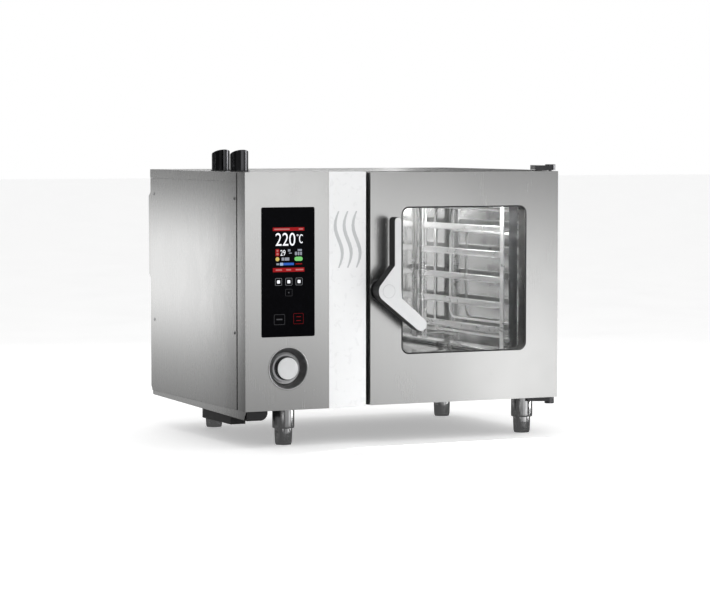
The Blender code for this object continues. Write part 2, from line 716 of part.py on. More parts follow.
def make_liner():
    """The cooking chamber: a rounded box whose mouth is narrower than the box."""
    low, high = CAVITY_FLOOR_CORNER, CAVITY_ROOF_CORNER
    wall = LINER_WALL
    outer_low, outer_high = grown(low, high, wall)
    liner = piece("cavity_liner", pane(outer_low, outer_high, CAVITY_FRONT - wall,
                                       CAVITY_BACK + wall, CAVITY_CORNER + wall), "polished")
    throat_low, throat_high = grown(MOUTH_LOW, MOUTH_HIGH, wall)
    join(liner, pane(throat_low, throat_high, FRAME_BACK + GAP, CAVITY_FRONT + PAST,
                     CAVITY_CORNER + wall))
    cut(liner, pane(low, high, CAVITY_FRONT, CAVITY_BACK, CAVITY_CORNER))
    cut(liner, pane(MOUTH_LOW, MOUTH_HIGH, FRAME_FRONT - PAST, CAVITY_FRONT + 0.02,
                    CAVITY_CORNER))
    cut(liner, rod((CAVITY_LEFT - PAST, FAN_Y, FAN_Z), (CAVITY_LEFT + PAST, FAN_Y, FAN_Z),
                   SHAFT_RADIUS + 0.002))
    cut(liner, rod((DRAIN_X, FAN_Y, CAVITY_LOW - PAST), (DRAIN_X, FAN_Y, CAVITY_LOW + PAST),
                   DRAIN_RADIUS + 0.0005))


def make_insulation():
    """Mineral wool round the chamber, open at the front."""
    low, high = CAVITY_FLOOR_CORNER, CAVITY_ROOF_CORNER
    inner_low, inner_high = grown(low, high, LINER_WALL + GAP)
    outer_low, outer_high = grown(low, high, INSULATION)
    wool = piece("insulation", pane(outer_low, outer_high, CAVITY_FRONT, CAVITY_BACK + 0.030,
                                    CAVITY_CORNER + 0.02), "wool")
    cut(wool, pane(inner_low, inner_high, CAVITY_FRONT - 0.02, CAVITY_BACK + LINER_WALL + GAP,
                   CAVITY_CORNER))
    cut(wool, rod((CAVITY_LEFT - 0.1, FAN_Y, FAN_Z), (CAVITY_LEFT + PAST, FAN_Y, FAN_Z),
                  SHAFT_RADIUS + 0.004))
    cut(wool, rod((DRAIN_X, FAN_Y, CAVITY_LOW - 0.1), (DRAIN_X, FAN_Y, CAVITY_LOW + PAST),
                  DRAIN_RADIUS + 0.0025))


def make_gasket():
    """The rubber ring that the door's inner frame closes on."""
    low, high = grown(MOUTH_LOW, MOUTH_HIGH, 0.018)
    ring = piece("door_gasket", pane(low, high, DOOR_BACK + GAP, FRAME_FRONT - GAP,
                                     CAVITY_CORNER + 0.014), "rubber")
    low, high = grown(MOUTH_LOW, MOUTH_HIGH, 0.006)
    cut(ring, pane(low, high, DOOR_BACK - PAST, FRAME_FRONT + PAST, CAVITY_CORNER + 0.002))


def between(start, end, low, high):
    """A block between two X places in either order, and between two corners in Y and Z."""
    return block((min(start, end), *low), (max(start, end), *high))


def make_rack(name, x, inward, wall_x):
    """A flat post and two wires that carry the shelf rails, on stand-offs from the wall."""
    low, high = FIRST_LEVEL - 0.045, FIRST_LEVEL + (LEVELS - 1) * LEVEL_PITCH + 0.035
    levels = [FIRST_LEVEL + i * LEVEL_PITCH for i in range(LEVELS)]
    post, wire, web, lip = 0.003, 0.004, 0.0005, 0.0015
    rail_width, rail_height = 0.020, 0.017
    wire_x = x - inward * 0.0025
    wire_y = (RAIL_BACK - 0.004, RAIL_BACK + 0.014)
    rack = piece(name, between(x, x - inward * post, (RAIL_FRONT - 0.020, low),
                               (RAIL_FRONT + 0.001, high)), "steel")
    rails = [between(x - inward * 2 * web, x + inward * (rail_width - 2 * web),
                     (RAIL_FRONT, z), (RAIL_BACK, z + rail_height)) for z in levels]
    join(rack, together(rails))
    for y in wire_y:
        join(rack, pipe([(wire_x, y, low), (wire_x, y, high)], wire))
    ties = [block((wire_x - 0.002, wire_y[0], z), (wire_x + 0.002, wire_y[1], z + 0.008))
            for z in (low + 0.010, high - 0.020)]
    join(rack, together(ties))
    grooves = [between(x + inward * web, x + inward * 0.05, (RAIL_FRONT - 0.05, z + lip),
                       (RAIL_BACK + 0.05, z + rail_height - lip)) for z in levels]
    cut(rack, together(grooves))
    stands = [rod((x - inward * 2 * web, y, z), (wall_x + inward * GAP, y, z), wire, sides=12)
              for y in (RAIL_FRONT - 0.010, wire_y[0]) for z in (low + 0.015, high - 0.015)]
    join(rack, together(stands))


# Fan, heat, steam and light.


def make_baffle():
    """The sheet between the fan and the pans, with a round inlet, on four legs."""
    low = Vector((0, CAVITY_FRONT + 0.012, CAVITY_LOW + 0.018))
    high = Vector((0, CAVITY_BACK - 0.014, CAVITY_HIGH - 0.018))
    baffle = piece("fan_baffle", block((BAFFLE_X - SHEET, low.y, low.z),
                                       (BAFFLE_X, high.y, high.z), 0.015, 0), "steel")
    legs = [rod((CAVITY_LEFT + GAP, y, z), (BAFFLE_X - 0.0005, y, z), 0.006, sides=12)
            for y in (low.y + 0.022, high.y - 0.022) for z in (low.z + 0.022, high.z - 0.022)]
    join(baffle, together(legs))
    cut(baffle, rod((BAFFLE_X - 0.02, FAN_Y, FAN_Z), (BAFFLE_X + 0.02, FAN_Y, FAN_Z),
                    INLET_RADIUS, sides=32))


def make_fan():
    """The wheel on its shaft, and the motor in the technical side."""
    spin = joint_empty("fan_spin_axis", (CAVITY_LEFT, FAN_Y, FAN_Z))
    start, end = CAVITY_LEFT + 0.010, BAFFLE_X - 0.012
    wheel = piece("fan_wheel", rod((start, FAN_Y, FAN_Z), (start + 0.002, FAN_Y, FAN_Z),
                                   FAN_RADIUS, sides=48), "steel")
    blades = []
    for i in range(FAN_BLADES):
        blade = block((start + 0.001, -0.001, FAN_RADIUS - 0.042),
                      (end, 0.001, FAN_RADIUS - 0.002))
        turn = Matrix.Rotation(2 * math.pi * i / FAN_BLADES, 4, "X")
        place = Matrix.Translation((0, FAN_Y, FAN_Z)) @ turn
        bmesh.ops.transform(blade, matrix=place, verts=blade.verts)
        blades.append(blade)
    join(wheel, together(blades))
    join(wheel, rod((start - 0.001, FAN_Y, FAN_Z), (start + 0.022, FAN_Y, FAN_Z), 0.016))
    cut(wheel, rod((start - PAST, FAN_Y, FAN_Z), (start + 0.04, FAN_Y, FAN_Z),
                   SHAFT_RADIUS + GAP))
    shaft = piece("motor_shaft", rod((MOTOR_END + 0.004, FAN_Y, FAN_Z),
                                     (start + 0.024, FAN_Y, FAN_Z), SHAFT_RADIUS), "polished")
    hang(spin, wheel, shaft)
    flange = 0.068
    motor = piece("fan_motor", rod((MOTOR_END - MOTOR_LENGTH, FAN_Y, FAN_Z),
                                   (MOTOR_END - 0.002, FAN_Y, FAN_Z), MOTOR_RADIUS, sides=32),
                  "cast")
    join(motor, block((MOTOR_END - 0.012, FAN_Y - flange, FAN_Z - flange),
                      (MOTOR_END - 0.001, FAN_Y + flange, FAN_Z + flange), 0.012, 0))
    cut(motor, rod((MOTOR_END - 0.040, FAN_Y, FAN_Z), (MOTOR_END + PAST, FAN_Y, FAN_Z),
                   SHAFT_RADIUS + 0.001))


def make_heater():
    """The ring heater round the fan, a coil of three turns with two ends in the wall."""
    turns, steps, radius = 3, 20, FAN_RADIUS + 0.030
    start = CAVITY_LEFT + 0.018
    points = []
    for i in range(turns * steps + 1):
        angle = math.radians(-60) + 2 * math.pi * i / steps
        points.append((start + 0.014 * i / steps, FAN_Y + radius * math.cos(angle),
                       FAN_Z + radius * math.sin(angle)))
    piece("heating_element", pipe(points, 0.004), "cast")


def make_steam():
    """The steam pipe that feeds the fan's middle, with its water valve and inlet."""
    z = WATER_Z
    start = FAN_Y - 0.200
    points = [(CAVITY_LEFT - INSULATION - 0.012, start, z), (WATER_X + 0.040, start, z),
              (WATER_X + 0.010, start + 0.020, z), (WATER_X, start + 0.060, z),
              (WATER_X, FAN_Y + 0.100, z)]
    piece("steam_pipe", pipe(points, 0.006), "polished")
    x = WATER_X
    valve = piece("solenoid_valve", block((x - 0.020, FAN_Y + 0.1005, z - 0.018),
                                          (x + 0.020, FAN_Y + 0.150, z + 0.018)), "brass")
    join(valve, rod((x, FAN_Y + 0.125, z + 0.016), (x, FAN_Y + 0.125, z + 0.066), 0.017))
    inlet = piece("water_inlet", rod((x, FAN_Y + 0.1505, z), (x, REAR + 0.018, z),
                                     INLET_PIPE_RADIUS),
                  "brass")
    join(inlet, rod((x, REAR - 0.0015, z), (x, REAR + 0.014, z), 0.0150, sides=6))


def make_drain():
    """The drain that runs from the chamber's floor through the base."""
    top = CAVITY_LOW - LINER_WALL - GAP
    end = BOTTOM - DRAIN_BELOW
    drain = piece("drain_pipe", rod((DRAIN_X, FAN_Y, end), (DRAIN_X, FAN_Y, top),
                                    DRAIN_RADIUS), "polished")
    cut(drain, rod((DRAIN_X, FAN_Y, end - PAST), (DRAIN_X, FAN_Y, top + PAST),
                   DRAIN_RADIUS - 0.002))


def make_lamp():
    """The lens of the chamber's lamp, set in the ceiling near the door."""
    place = (RACK_RIGHT - 0.055, CAVITY_FRONT + 0.070, CAVITY_HIGH - GAP)
    turned("lamp_lens", [(0, 0), (0.026, 0), (0.024, -0.008), (0.016, -0.012), (0, -0.012)],
           place, (0, 0, 1), "glass", 24)


def make_contactor():
    x, y = LEFT + 0.045, FRONT + 0.345
    width, depth, height, bridge = 0.080, 0.045, 0.085, 0.015
    contactor = piece("contactor", block((x, y, RAIL_Z), (x + width, y + depth,
                                                          RAIL_Z + height)), "light_grey")
    join(contactor, block((x + bridge, y + 0.006, RAIL_Z + height - 0.005),
                          (x + width - bridge, y + depth - 0.006, RAIL_Z + height + bridge)))


def make_power_supply():
    """A sheet case with a row of cooling slots in its top."""
    x, y = LEFT + 0.045, FRONT + 0.150
    width, depth, height = 0.100, 0.160, 0.060
    supply = piece("power_supply", block((x, y, RAIL_Z), (x + width, y + depth,
                                                          RAIL_Z + height)), "steel")
    slots = [block((x + 0.010, y + 0.015 + 0.018 * i, RAIL_Z + height - PAST),
                   (x + width - 0.010, y + 0.023 + 0.018 * i, RAIL_Z + height + PAST))
             for i in range(7)]
    cut(supply, together(slots))


def make_terminal_block():
    """Five notched terminals for the mains."""
    x, y = LEFT + 0.045, FRONT + 0.480
    width, depth, height, notch, pitch = 0.040, 0.100, 0.034, 0.012, 0.018
    terminal = piece("terminal_block", block((x, y, RAIL_Z), (x + width, y + depth,
                                                              RAIL_Z + height)), "light_grey")
    notches = [block((x + notch, y + 0.008 + pitch * i, RAIL_Z + height - notch),
                     (x + width - notch, y + 0.020 + pitch * i, RAIL_Z + height + PAST))
               for i in range(5)]
    cut(terminal, together(notches))


def make_gland():
    """The cable gland, with its hexagon outside the rear panel."""
    half = 0.020
    gland = piece("cable_gland", rod((GLAND_X, REAR - half, GLAND_Z),
                                     (GLAND_X, REAR + half, GLAND_Z), GLAND_RADIUS), "black")
    join(gland, rod((GLAND_X, REAR - 0.0015, GLAND_Z), (GLAND_X, REAR + 0.012, GLAND_Z),
                    GLAND_RADIUS + 0.006, sides=6))
    cut(gland, rod((GLAND_X, REAR - half - PAST, GLAND_Z),
                   (GLAND_X, REAR + half + PAST, GLAND_Z), GLAND_BORE))


# Vent pipes and feet.


def make_vents():
    """Two steel pipes through the roof, cut at a slant that faces the rear."""
    for name, y in zip(("front", "rear"), VENT_Y):
        low, high = TOP - 0.040, TOP + VENT_HEIGHT
        vent = piece(f"{name}_vent_pipe", rod((VENT_X, y, low), (VENT_X, y, high), VENT_RADIUS,
                                              sides=32), "chrome")
        slope = Matrix.Rotation(math.radians(-22), 4, "X")
        wedge = block((-0.05, -0.08, 0), (0.05, 0.08, 0.05))
        place = Matrix.Translation((VENT_X, y - VENT_RADIUS, high)) @ slope
        bmesh.ops.transform(wedge, matrix=place, verts=wedge.verts)
        cut(vent, rod((VENT_X, y, low - PAST), (VENT_X, y, high + PAST), VENT_RADIUS - 0.0015,
                      sides=32))
        cut(vent, wedge)


def make_feet():
    """Four sleeves, each with a threaded lower part that screws in and out."""
    for x, side in zip(FOOT_X, ("left", "right")):
        for y, end in zip(FOOT_Y, ("front", "rear")):
            name = f"{end}_{side}_foot"
            top = BOTTOM - GAP
            turned(f"{name}_sleeve", [
                (0, top), (SLEEVE_RADIUS, top), (SLEEVE_RADIUS, TIP_HEIGHT + 0.004),
                (SLEEVE_RADIUS - 0.003, TIP_HEIGHT), (SLEEVE_BORE, TIP_HEIGHT),
                (SLEEVE_BORE, top - 0.003), (0, top - 0.003)], (x, y, 0), (0, 0, 1),
                "chrome", 28)
            slide = joint_empty(f"{name}_axis", (x, y, 0))
            tip = turned(f"{name}_tip", [
                (0, top - 0.018), (SLEEVE_BORE - 0.001, top - 0.018),
                (SLEEVE_BORE - 0.001, TIP_HEIGHT), (SLEEVE_BORE - 0.0022, 0.006),
                (SLEEVE_BORE - 0.004, 0.0), (0, 0.0)], (x, y, 0), (0, 0, 1), "chrome", 28)
            hang(slide, tip)


clear_scene()
PARTS = new_collection("combi_steamer_oven")
CUTTERS = new_collection("cutters")

make_side_panels()
make_roof()
make_rear()
make_rear_cover()
make_base()
make_skirt()
make_underside()
make_front_frame()
make_fascia()
make_strip()
make_control_glass()
make_knob()
make_door()
make_hinges()
make_handle()
make_keeper()
make_liner()
make_insulation()
make_gasket()
make_rack("left_rack", RACK_LEFT, 1, BAFFLE_X)
make_rack("right_rack", RACK_RIGHT, -1, CAVITY_RIGHT)
make_baffle()
make_fan()
make_heater()
make_steam()
make_drain()
make_lamp()
make_contactor()
make_power_supply()
make_terminal_block()
make_gland()
make_vents()
make_feet()
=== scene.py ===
"""Combi steamer oven: the looks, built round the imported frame.

Metres, with +X to the right as the user faces the door, +Y to the rear and +Z up. Places come from
the boxes of the frame's nodes. Small pieces that the frame leaves out, such as screws, seals, rack
wires and display marks, ride on the body that carries them.
"""

import math

import bmesh
import bpy
from mathutils import Matrix, Vector


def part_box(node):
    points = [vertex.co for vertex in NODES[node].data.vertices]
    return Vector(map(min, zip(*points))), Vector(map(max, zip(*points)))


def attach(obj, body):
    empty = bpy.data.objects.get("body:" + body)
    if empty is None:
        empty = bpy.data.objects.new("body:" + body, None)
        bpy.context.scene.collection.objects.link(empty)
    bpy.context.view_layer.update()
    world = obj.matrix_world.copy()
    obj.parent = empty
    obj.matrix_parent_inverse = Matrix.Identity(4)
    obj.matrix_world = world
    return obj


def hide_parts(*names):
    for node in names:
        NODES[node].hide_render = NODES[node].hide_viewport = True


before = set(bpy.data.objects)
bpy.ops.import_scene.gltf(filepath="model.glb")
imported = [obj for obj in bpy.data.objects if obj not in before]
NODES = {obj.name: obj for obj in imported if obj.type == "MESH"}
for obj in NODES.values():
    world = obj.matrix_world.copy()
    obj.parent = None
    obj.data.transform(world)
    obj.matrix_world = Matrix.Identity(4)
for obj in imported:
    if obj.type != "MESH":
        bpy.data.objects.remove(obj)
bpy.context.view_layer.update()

# Camera: the place and the angles that show the front and the left side.
CAMERA_PLACE = (-3.2201, -6.9243, 0.8264)
CAMERA_TILT = 86.413
CAMERA_PAN = -24.97
CAMERA_LENS = 139.2

# Cards for the steel to reflect: (x0, y0, x1, y1, low, high) of each, its strength, and its
# (height, level) steps, if it isn't even.
CARDS = (
    ("fascia_card", (-0.40, -1.15, 0.21, -1.15, -0.10, 0.82), 1.72,
     ((0.0, 0.24), (0.12, 0.30), (0.30, 0.46), (0.52, 0.60), (0.72, 0.66))),
    ("door_left_card", (0.21, -1.15, 0.60, -1.15, -0.10, 0.80), 1.72,
     ((0.0, 0.46), (0.18, 0.52), (0.42, 0.60), (0.58, 0.52), (0.70, 0.36))),
    ("door_right_card", (0.60, -1.15, 1.05, -1.15, -0.10, 0.80), 1.70,
     ((0.0, 0.86), (0.18, 0.80), (0.42, 0.62), (0.58, 0.40), (0.70, 0.26))),
    ("left_card", (-0.75, 0.38, -0.75, 1.75, -0.02, 0.76), 1.68,
     ((0.04, 0.22), (0.14, 0.33), (0.32, 0.74), (0.50, 0.74), (0.68, 0.18))),
    ("shade_card", (-0.60, -0.26, -0.60, 0.03, 0.0, 0.80), 0.06, None),
    ("foot_card", (-1.35, -1.60, -0.80, -1.78, 0.0, 0.13), 1.0, None),
    ("right_card", (1.20, 0.00, 1.20, 1.20, 0.0, 1.20), 1.0,
     ((0.0, 0.3), (0.3, 0.8), (0.6, 0.9), (0.9, 0.4))),
    ("rear_card", (0.80, 1.50, -0.80, 1.50, 0.0, 1.20), 1.0,
     ((0.0, 0.3), (0.3, 0.75), (0.6, 0.9), (0.9, 0.4))),
    ("bright_strip", (1.60, -0.95, 1.60, -0.45, 0.0, 1.5), 9.0, None),
    ("thin_strip", (-1.90, 0.10, -1.90, 0.35, 0.0, 1.5), 8.0, None),
)

# The world's level as soft light, in reflections, and behind the oven; and the floor's own light.
WORLD_SOFT = 0.76
WORLD_REFLECTED = 0.14
WORLD_SEEN = 1.0
FLOOR_SIZE = 40.0
FLOOR_GLOW = 0.34

# Softboxes that aim at the oven: name, place, width, height and power.
OVEN_MIDDLE = (0, 0, 0.4)
SOFTBOXES = (
    ("overhead", (0.0, -0.3, 3.0), 3.2, 2.6, 18),
    ("key", (-2.6, -2.8, 2.0), 1.2, 1.8, 8),
    ("rear", (0.6, 2.6, 1.6), 1.6, 1.2, 10),
)

# Light in the chamber: its lamp, and panels in the door's opening that the camera doesn't see, with
# their name, rise above the middle, height and power.
LAMP_SIZE = 0.05
LAMP_POWER = 17.0
PANEL_WIDTH = 0.30
CHAMBER_PANELS = (("chamber_glow", 0.0, 0.42, 0.23), ("chamber_gleam", 0.14, 0.02, 0.25))

# Edges and small clearances.
EDGE = 0.0006
SKIN = 0.0002
HAIR = 0.00002
SMOOTH_ANGLE = math.radians(32)
FINE = 96
FRONT = (0, -1, 0)
REAR = (0, 1, 0)

# Figures on the touch glass: text, height, place in millimetres right and down from its top left
# corner, and the narrowing of the font.
FIGURES = (("220", 0.0348, (38.5, 100.5), 0.81), ("29", 0.0155, (53, 126.5), 0.72))
LETTER = (113.5, 83.0)
DEGREE = (102.6, 73.6)
KEY_COLUMNS = (48, 77.4, 106.8)

# Marks on the touch glass: the piece, its light, and each mark's left, top, right and bottom in the
# same millimetres, then its corner radius and, for an outline, its line width, in metres.
DISPLAY = (
    ("key_outlines", ("lit_grey", (0.45, 0.46, 0.48), 0.5),
     tuple((u - 9.5, 185.5, u + 9.5, 204.8, 0.0022, 0.0007) for u in KEY_COLUMNS)),
    ("key_faint", ("lit_dim", (0.14, 0.14, 0.15), 0.35),
     ((67.6, 214.5, 87.2, 233.0, 0.0022, 0.0006), (75.6, 222, 79.2, 225.6),
      (35, 280.7, 66, 307.8, 0.0024, 0.0008), (42, 292, 59, 295.5))),
    ("key_red", ("lit_dark_red", (0.30, 0.006, 0.010), 0.5),
     ((90.7, 279, 119.2, 307, 0.0024, 0.0008), (99, 287.2, 112, 288.8), (99, 297.2, 112, 298.8))),
    ("display_red", ("lit_red", (0.30, 0.006, 0.008), 1.0),
     ((32, 52.7, 122, 61.6), (32, 158.6, 122, 169.4), (39.6, 109.0, 50.5, 127.4, 0.0010),
      (97, 147.6, 115.6, 150.0))),
    ("display_lines", ("lit_pink", (0.62, 0.20, 0.19), 0.7),
     ((36, 55.4, 80, 59.2, 0.001), (106, 55.4, 118, 59.2, 0.001), (40, 162, 58, 166, 0.001),
      (70, 162, 84, 166, 0.001), (97, 162, 119, 166, 0.001), (42.5, 111, 47.5, 116, 0.001),
      (42, 119, 48.4, 125, 0.0028))),
    ("display_grey", ("lit_soft", (0.42, 0.45, 0.52), 0.6),
     ((57, 131.5, 64.5, 139.5, 0.001), (66, 131.5, 79, 139.5, 0.001), (75, 110, 82, 116, 0.001),
      (78, 119, 86, 121.5, 0.001), (95, 117, 101, 126, 0.001), (103, 110, 115, 115, 0.001),
      (103, 117, 108, 126, 0.001), (110, 117, 115, 126, 0.001), (42, 146.4, 50, 151.2, 0.001))),
    ("display_blue", ("lit_blue", (0.03, 0.12, 0.52), 0.9), ((62, 145.6, 92, 151.8, 0.001),)),
    ("display_sky", ("lit_sky", (0.40, 0.55, 0.80), 0.8), ((52, 145.2, 61.5, 152.4, 0.001),)),
    ("display_yellow", ("lit_yellow", (0.75, 0.58, 0.16), 0.8), ((39.6, 130, 50.5, 141, 0.0054),)),
    ("display_green", ("lit_green", (0.20, 0.62, 0.18), 0.9), ((93.8, 130, 117, 141, 0.0050),)),
)

# Steam mark on the white strip.
WAVE_OFFSETS = (-0.026, 0.0, 0.026)
WAVE_LOW = 0.470
WAVE_HEIGHT = 0.150
WAVE_SWAY = 0.0105
WAVE_WIDTH = 0.0052
WAVE_STEPS = 12

# Knob: radii of its cap, barrel, foot and ribs, and the width of its bowl's slope.
KNOB_CAP = 0.0292
KNOB_BARREL = 0.0322
KNOB_FOOT = 0.0370
KNOB_RIBS = 48
BOWL_SLOPE = 0.0155
BOWL_HOLE = 0.012

# Window seal: its inset from the outer pane's edge, its width and its corner.
SEAL_INSET = 0.0182
SEAL_WIDTH = 0.0040
SEAL_CORNER = 0.0218

# Handle: radius of the pivot's cap and of the seat's hole.
PIVOT_CAP = 0.0172
SEAT_HOLE = 0.0255

# Racks: the wires' radius and bend, and the post's half width.
WIRE = 0.0036
WIRE_BEND = 0.028
POST_HALF = 0.0130

# Fan guard and drain sieve.
GUARD_RINGS = (0.030, 0.055, 0.080, 0.105, 0.116)
GUARD_SPOKE = (0.028, 0.122)
SIEVE_BARS = ((-0.009, 0.013), (-0.003, 0.0155), (0.003, 0.0155), (0.009, 0.013))
SIEVE_HOLE = 0.0155

# Feet and vents.
FOOT_BORE = 0.0248
THREAD_PITCH = 0.0022
THREAD_DEPTH = 0.0022
THREAD_LOW = 0.046
VENT_WALL = 0.0016
VENT_SLOPE = math.tan(math.radians(22))


# Materials.


class Look:
    """A material on the Principled shader, with short calls that add its nodes."""

    def __init__(self, name, colour, roughness, metallic=0.0, **sockets):
        self.material = bpy.data.materials.new(name)
        self.material.use_nodes = True
        self.tree = self.material.node_tree
        self.shader = self.tree.nodes["Principled BSDF"]
        self.colour = (*colour, 1.0)
        self.put("Base Color", self.colour)
        self.put("Roughness", roughness)
        self.put("Metallic", metallic)
        for socket, value in sockets.items():
            self.put(socket.replace("_", " "), value)
        self.coords = self.tree.nodes.new("ShaderNodeTexCoord")

    def put(self, socket, value):
        self.shader.inputs[socket].default_value = value

    def join(self, output, target):
        self.tree.links.new(output, target)

    def noise(self, stretch, detail, distortion=0.0):
        """Noise whose features are about 1 / stretch metres long, on each axis or on all."""
        if isinstance(stretch, float):
            stretch = (stretch, stretch, stretch)
        place = self.tree.nodes.new("ShaderNodeMapping")
        place.inputs["Scale"].default_value = stretch
        self.join(self.coords.outputs["Object"], place.inputs["Vector"])
        made = self.tree.nodes.new("ShaderNodeTexNoise")
        for socket, number in (("Scale", 1.0), ("Detail", detail), ("Distortion", distortion)):
            made.inputs[socket].default_value = number
        self.join(place.outputs["Vector"], made.inputs["Vector"])
        return made.outputs["Fac"]

    def spread(self, value, low, high, start=0.3, end=0.7):
        """Maps a value from start..end to low..high."""
        made = self.tree.nodes.new("ShaderNodeMapRange")
        for socket, number in (("From Min", start), ("From Max", end), ("To Min", low),
                               ("To Max", high)):
            made.inputs[socket].default_value = number
        self.join(value, made.inputs["Value"])
        return made.outputs["Result"]

    def maths(self, operation, first, second):
        made = self.tree.nodes.new("ShaderNodeMath")
        made.operation = operation
        for socket, value in zip(made.inputs, (first, second)):
            if isinstance(value, (int, float)):
                socket.default_value = value
            else:
                self.join(value, socket)
        return made.outputs["Value"]

    def tint(self, value, darker, lighter, start=0.3, end=0.7):
        """Colours the surface between two multiples of its own colour, from start to end."""
        made = self.tree.nodes.new("ShaderNodeMix")
        made.data_type = "RGBA"
        sockets = {socket.identifier: socket for socket in made.inputs}
        sockets["A_Color"].default_value = (*[c * darker for c in self.colour[:3]], 1.0)
        sockets["B_Color"].default_value = (*[min(c * lighter, 1) for c in self.colour[:3]], 1.0)
        self.join(self.spread(value, 0.0, 1.0, start, end), sockets["Factor_Float"])
        colour = next(s for s in made.outputs if s.identifier == "Result_Color")
        self.join(colour, self.shader.inputs["Base Color"])

    def rough(self, value):
        self.join(value, self.shader.inputs["Roughness"])

    def bump(self, height, distance, strength):
        made = self.tree.nodes.new("ShaderNodeBump")
        made.inputs["Strength"].default_value = strength
        made.inputs["Distance"].default_value = distance
        self.join(height, made.inputs["Height"])
        self.join(made.outputs["Normal"], self.shader.inputs["Normal"])


def stretched(along, across, run):
    """Noise scales for lines that run along one axis."""
    return tuple(run if axis == along else across for axis in range(3))


def brushed(name, along=2, colour=(0.62, 0.62, 0.615), roughness=0.27):
    """Ground stainless sheet: fine lines, a few long streaks and soft hand marks."""
    look = Look(name, colour, roughness, 1.0)
    fine = look.noise(stretched(along, 1500.0, 10.0), 4.0)
    streak = look.noise(stretched(along, 420.0, 1.6), 3.0)
    smudge = look.noise((9.0, 9.0, 7.0), 5.0, 1.2)
    grain = look.maths("ADD", look.maths("MULTIPLY", fine, 0.6),
                       look.maths("MULTIPLY", streak, 0.4))
    look.tint(grain, 0.985, 1.012, 0.38, 0.62)
    lines = look.spread(grain, roughness - 0.012, roughness + 0.012, 0.38, 0.62)
    marks = look.spread(smudge, -0.01, 0.02, 0.40, 0.68)
    look.rough(look.maths("ADD", lines, marks))
    look.bump(fine, 0.000002, 0.1)
    return look.material


def polished(name, colour=(0.70, 0.70, 0.70), roughness=0.10, wave=0.0002):
    """Bright rolled sheet: a mirror with slight waves, faint wipe marks and dull patches."""
    look = Look(name, colour, roughness, 1.0)
    wipe = look.noise((60.0, 18.0, 60.0), 4.0, 2.0)
    patch = look.noise((14.0, 14.0, 11.0), 4.0, 0.8)
    look.tint(patch, 0.90, 1.04)
    marks = look.maths("ADD", look.spread(wipe, 0.0, 0.06, 0.45, 0.75),
                       look.spread(patch, -0.02, 0.06, 0.35, 0.70))
    look.rough(look.maths("ADD", marks, roughness))
    look.bump(look.noise((5.0, 5.0, 4.0), 2.0), wave, 0.8)
    return look.material


def tube_steel(name, colour=(0.42, 0.42, 0.43), roughness=0.09):
    """Turned and polished tube: a mirror with thin rings and light handling marks."""
    look = Look(name, colour, roughness, 1.0)
    rings = look.noise((30.0, 30.0, 2600.0), 2.0)
    marks = look.noise((70.0, 70.0, 40.0), 4.0, 1.0)
    look.tint(marks, 0.86, 1.06)
    look.rough(look.maths("ADD", look.spread(rings, 0.0, 0.05, 0.4, 0.7),
                          look.spread(marks, roughness - 0.02, roughness + 0.07, 0.4, 0.75)))
    look.bump(rings, 0.00002, 0.3)
    return look.material


def moulded(name, colour, roughness=0.42, shine=0.5):
    """Moulded plastic: fine spark-eroded grain, with duller and shinier patches."""
    look = Look(name, colour, roughness, 0.0, Specular_IOR_Level=shine)
    fine = look.noise(1400.0, 3.0)
    patch = look.noise((35.0, 35.0, 30.0), 4.0, 0.6)
    look.tint(patch, 0.975, 1.02)
    look.rough(look.maths("ADD", look.spread(fine, -0.04, 0.04),
                          look.spread(patch, roughness - 0.05, roughness + 0.07)))
    look.bump(fine, 0.00004, 0.4)
    return look.material


def lacquered(name, colour, roughness=0.28):
    """Powder coat: a soft orange peel under a gloss, with faint dust."""
    look = Look(name, colour, roughness, 0.0, Coat_Weight=0.25, Coat_Roughness=0.12)
    peel = look.noise(420.0, 2.0)
    dust = look.noise((45.0, 45.0, 40.0), 5.0, 0.8)
    look.tint(dust, 0.992, 1.005, 0.35, 0.65)
    look.rough(look.spread(dust, roughness - 0.03, roughness + 0.07))
    look.bump(peel, 0.00006, 0.35)
    return look.material


def black_glass(name):
    """Back-printed glass: near black, with finger marks that only change its gloss."""
    look = Look(name, (0.0012, 0.0012, 0.0018), 0.05, 0.0, Specular_IOR_Level=0.03)
    touch = look.noise((55.0, 55.0, 48.0), 5.0, 1.5)
    look.tint(touch, 0.9, 1.6, 0.45, 0.75)
    look.rough(look.spread(touch, 0.04, 0.16, 0.50, 0.78))
    return look.material


def clear_glass(name, alpha, colour=(0.030, 0.036, 0.036)):
    """Clear pane: a faint grey-green with wipe marks in its gloss."""
    look = Look(name, colour, 0.03, 0.0, Alpha=alpha, IOR=1.5)
    wipe = look.noise((8.0, 8.0, 40.0), 4.0, 2.0)
    look.tint(wipe, 0.92, 1.05, 0.4, 0.7)
    look.rough(look.spread(wipe, 0.02, 0.10, 0.45, 0.75))
    return look.material


def glowing(name, colour, strength):
    """A lit display mark with slightly uneven light from its cells."""
    look = Look(name, [c * 0.12 for c in colour], 0.25, 0.0, Specular_IOR_Level=0.1)
    look.put("Emission Color", (*colour, 1.0))
    cells = look.noise(900.0, 2.0)
    level = look.spread(cells, strength * 0.85, strength * 1.1)
    look.join(level, look.shader.inputs["Emission Strength"])
    look.rough(look.spread(cells, 0.2, 0.3))
    return look.material


def rubber(name, colour=(0.022, 0.022, 0.023)):
    """Moulded rubber: dull, with a little dust."""
    look = Look(name, colour, 0.62)
    fine = look.noise(900.0, 3.0)
    dust = look.noise(40.0, 4.0, 1.0)
    look.tint(dust, 0.85, 1.7, 0.4, 0.7)
    look.rough(look.spread(dust, 0.52, 0.74))
    look.bump(fine, 0.00008, 0.5)
    return look.material


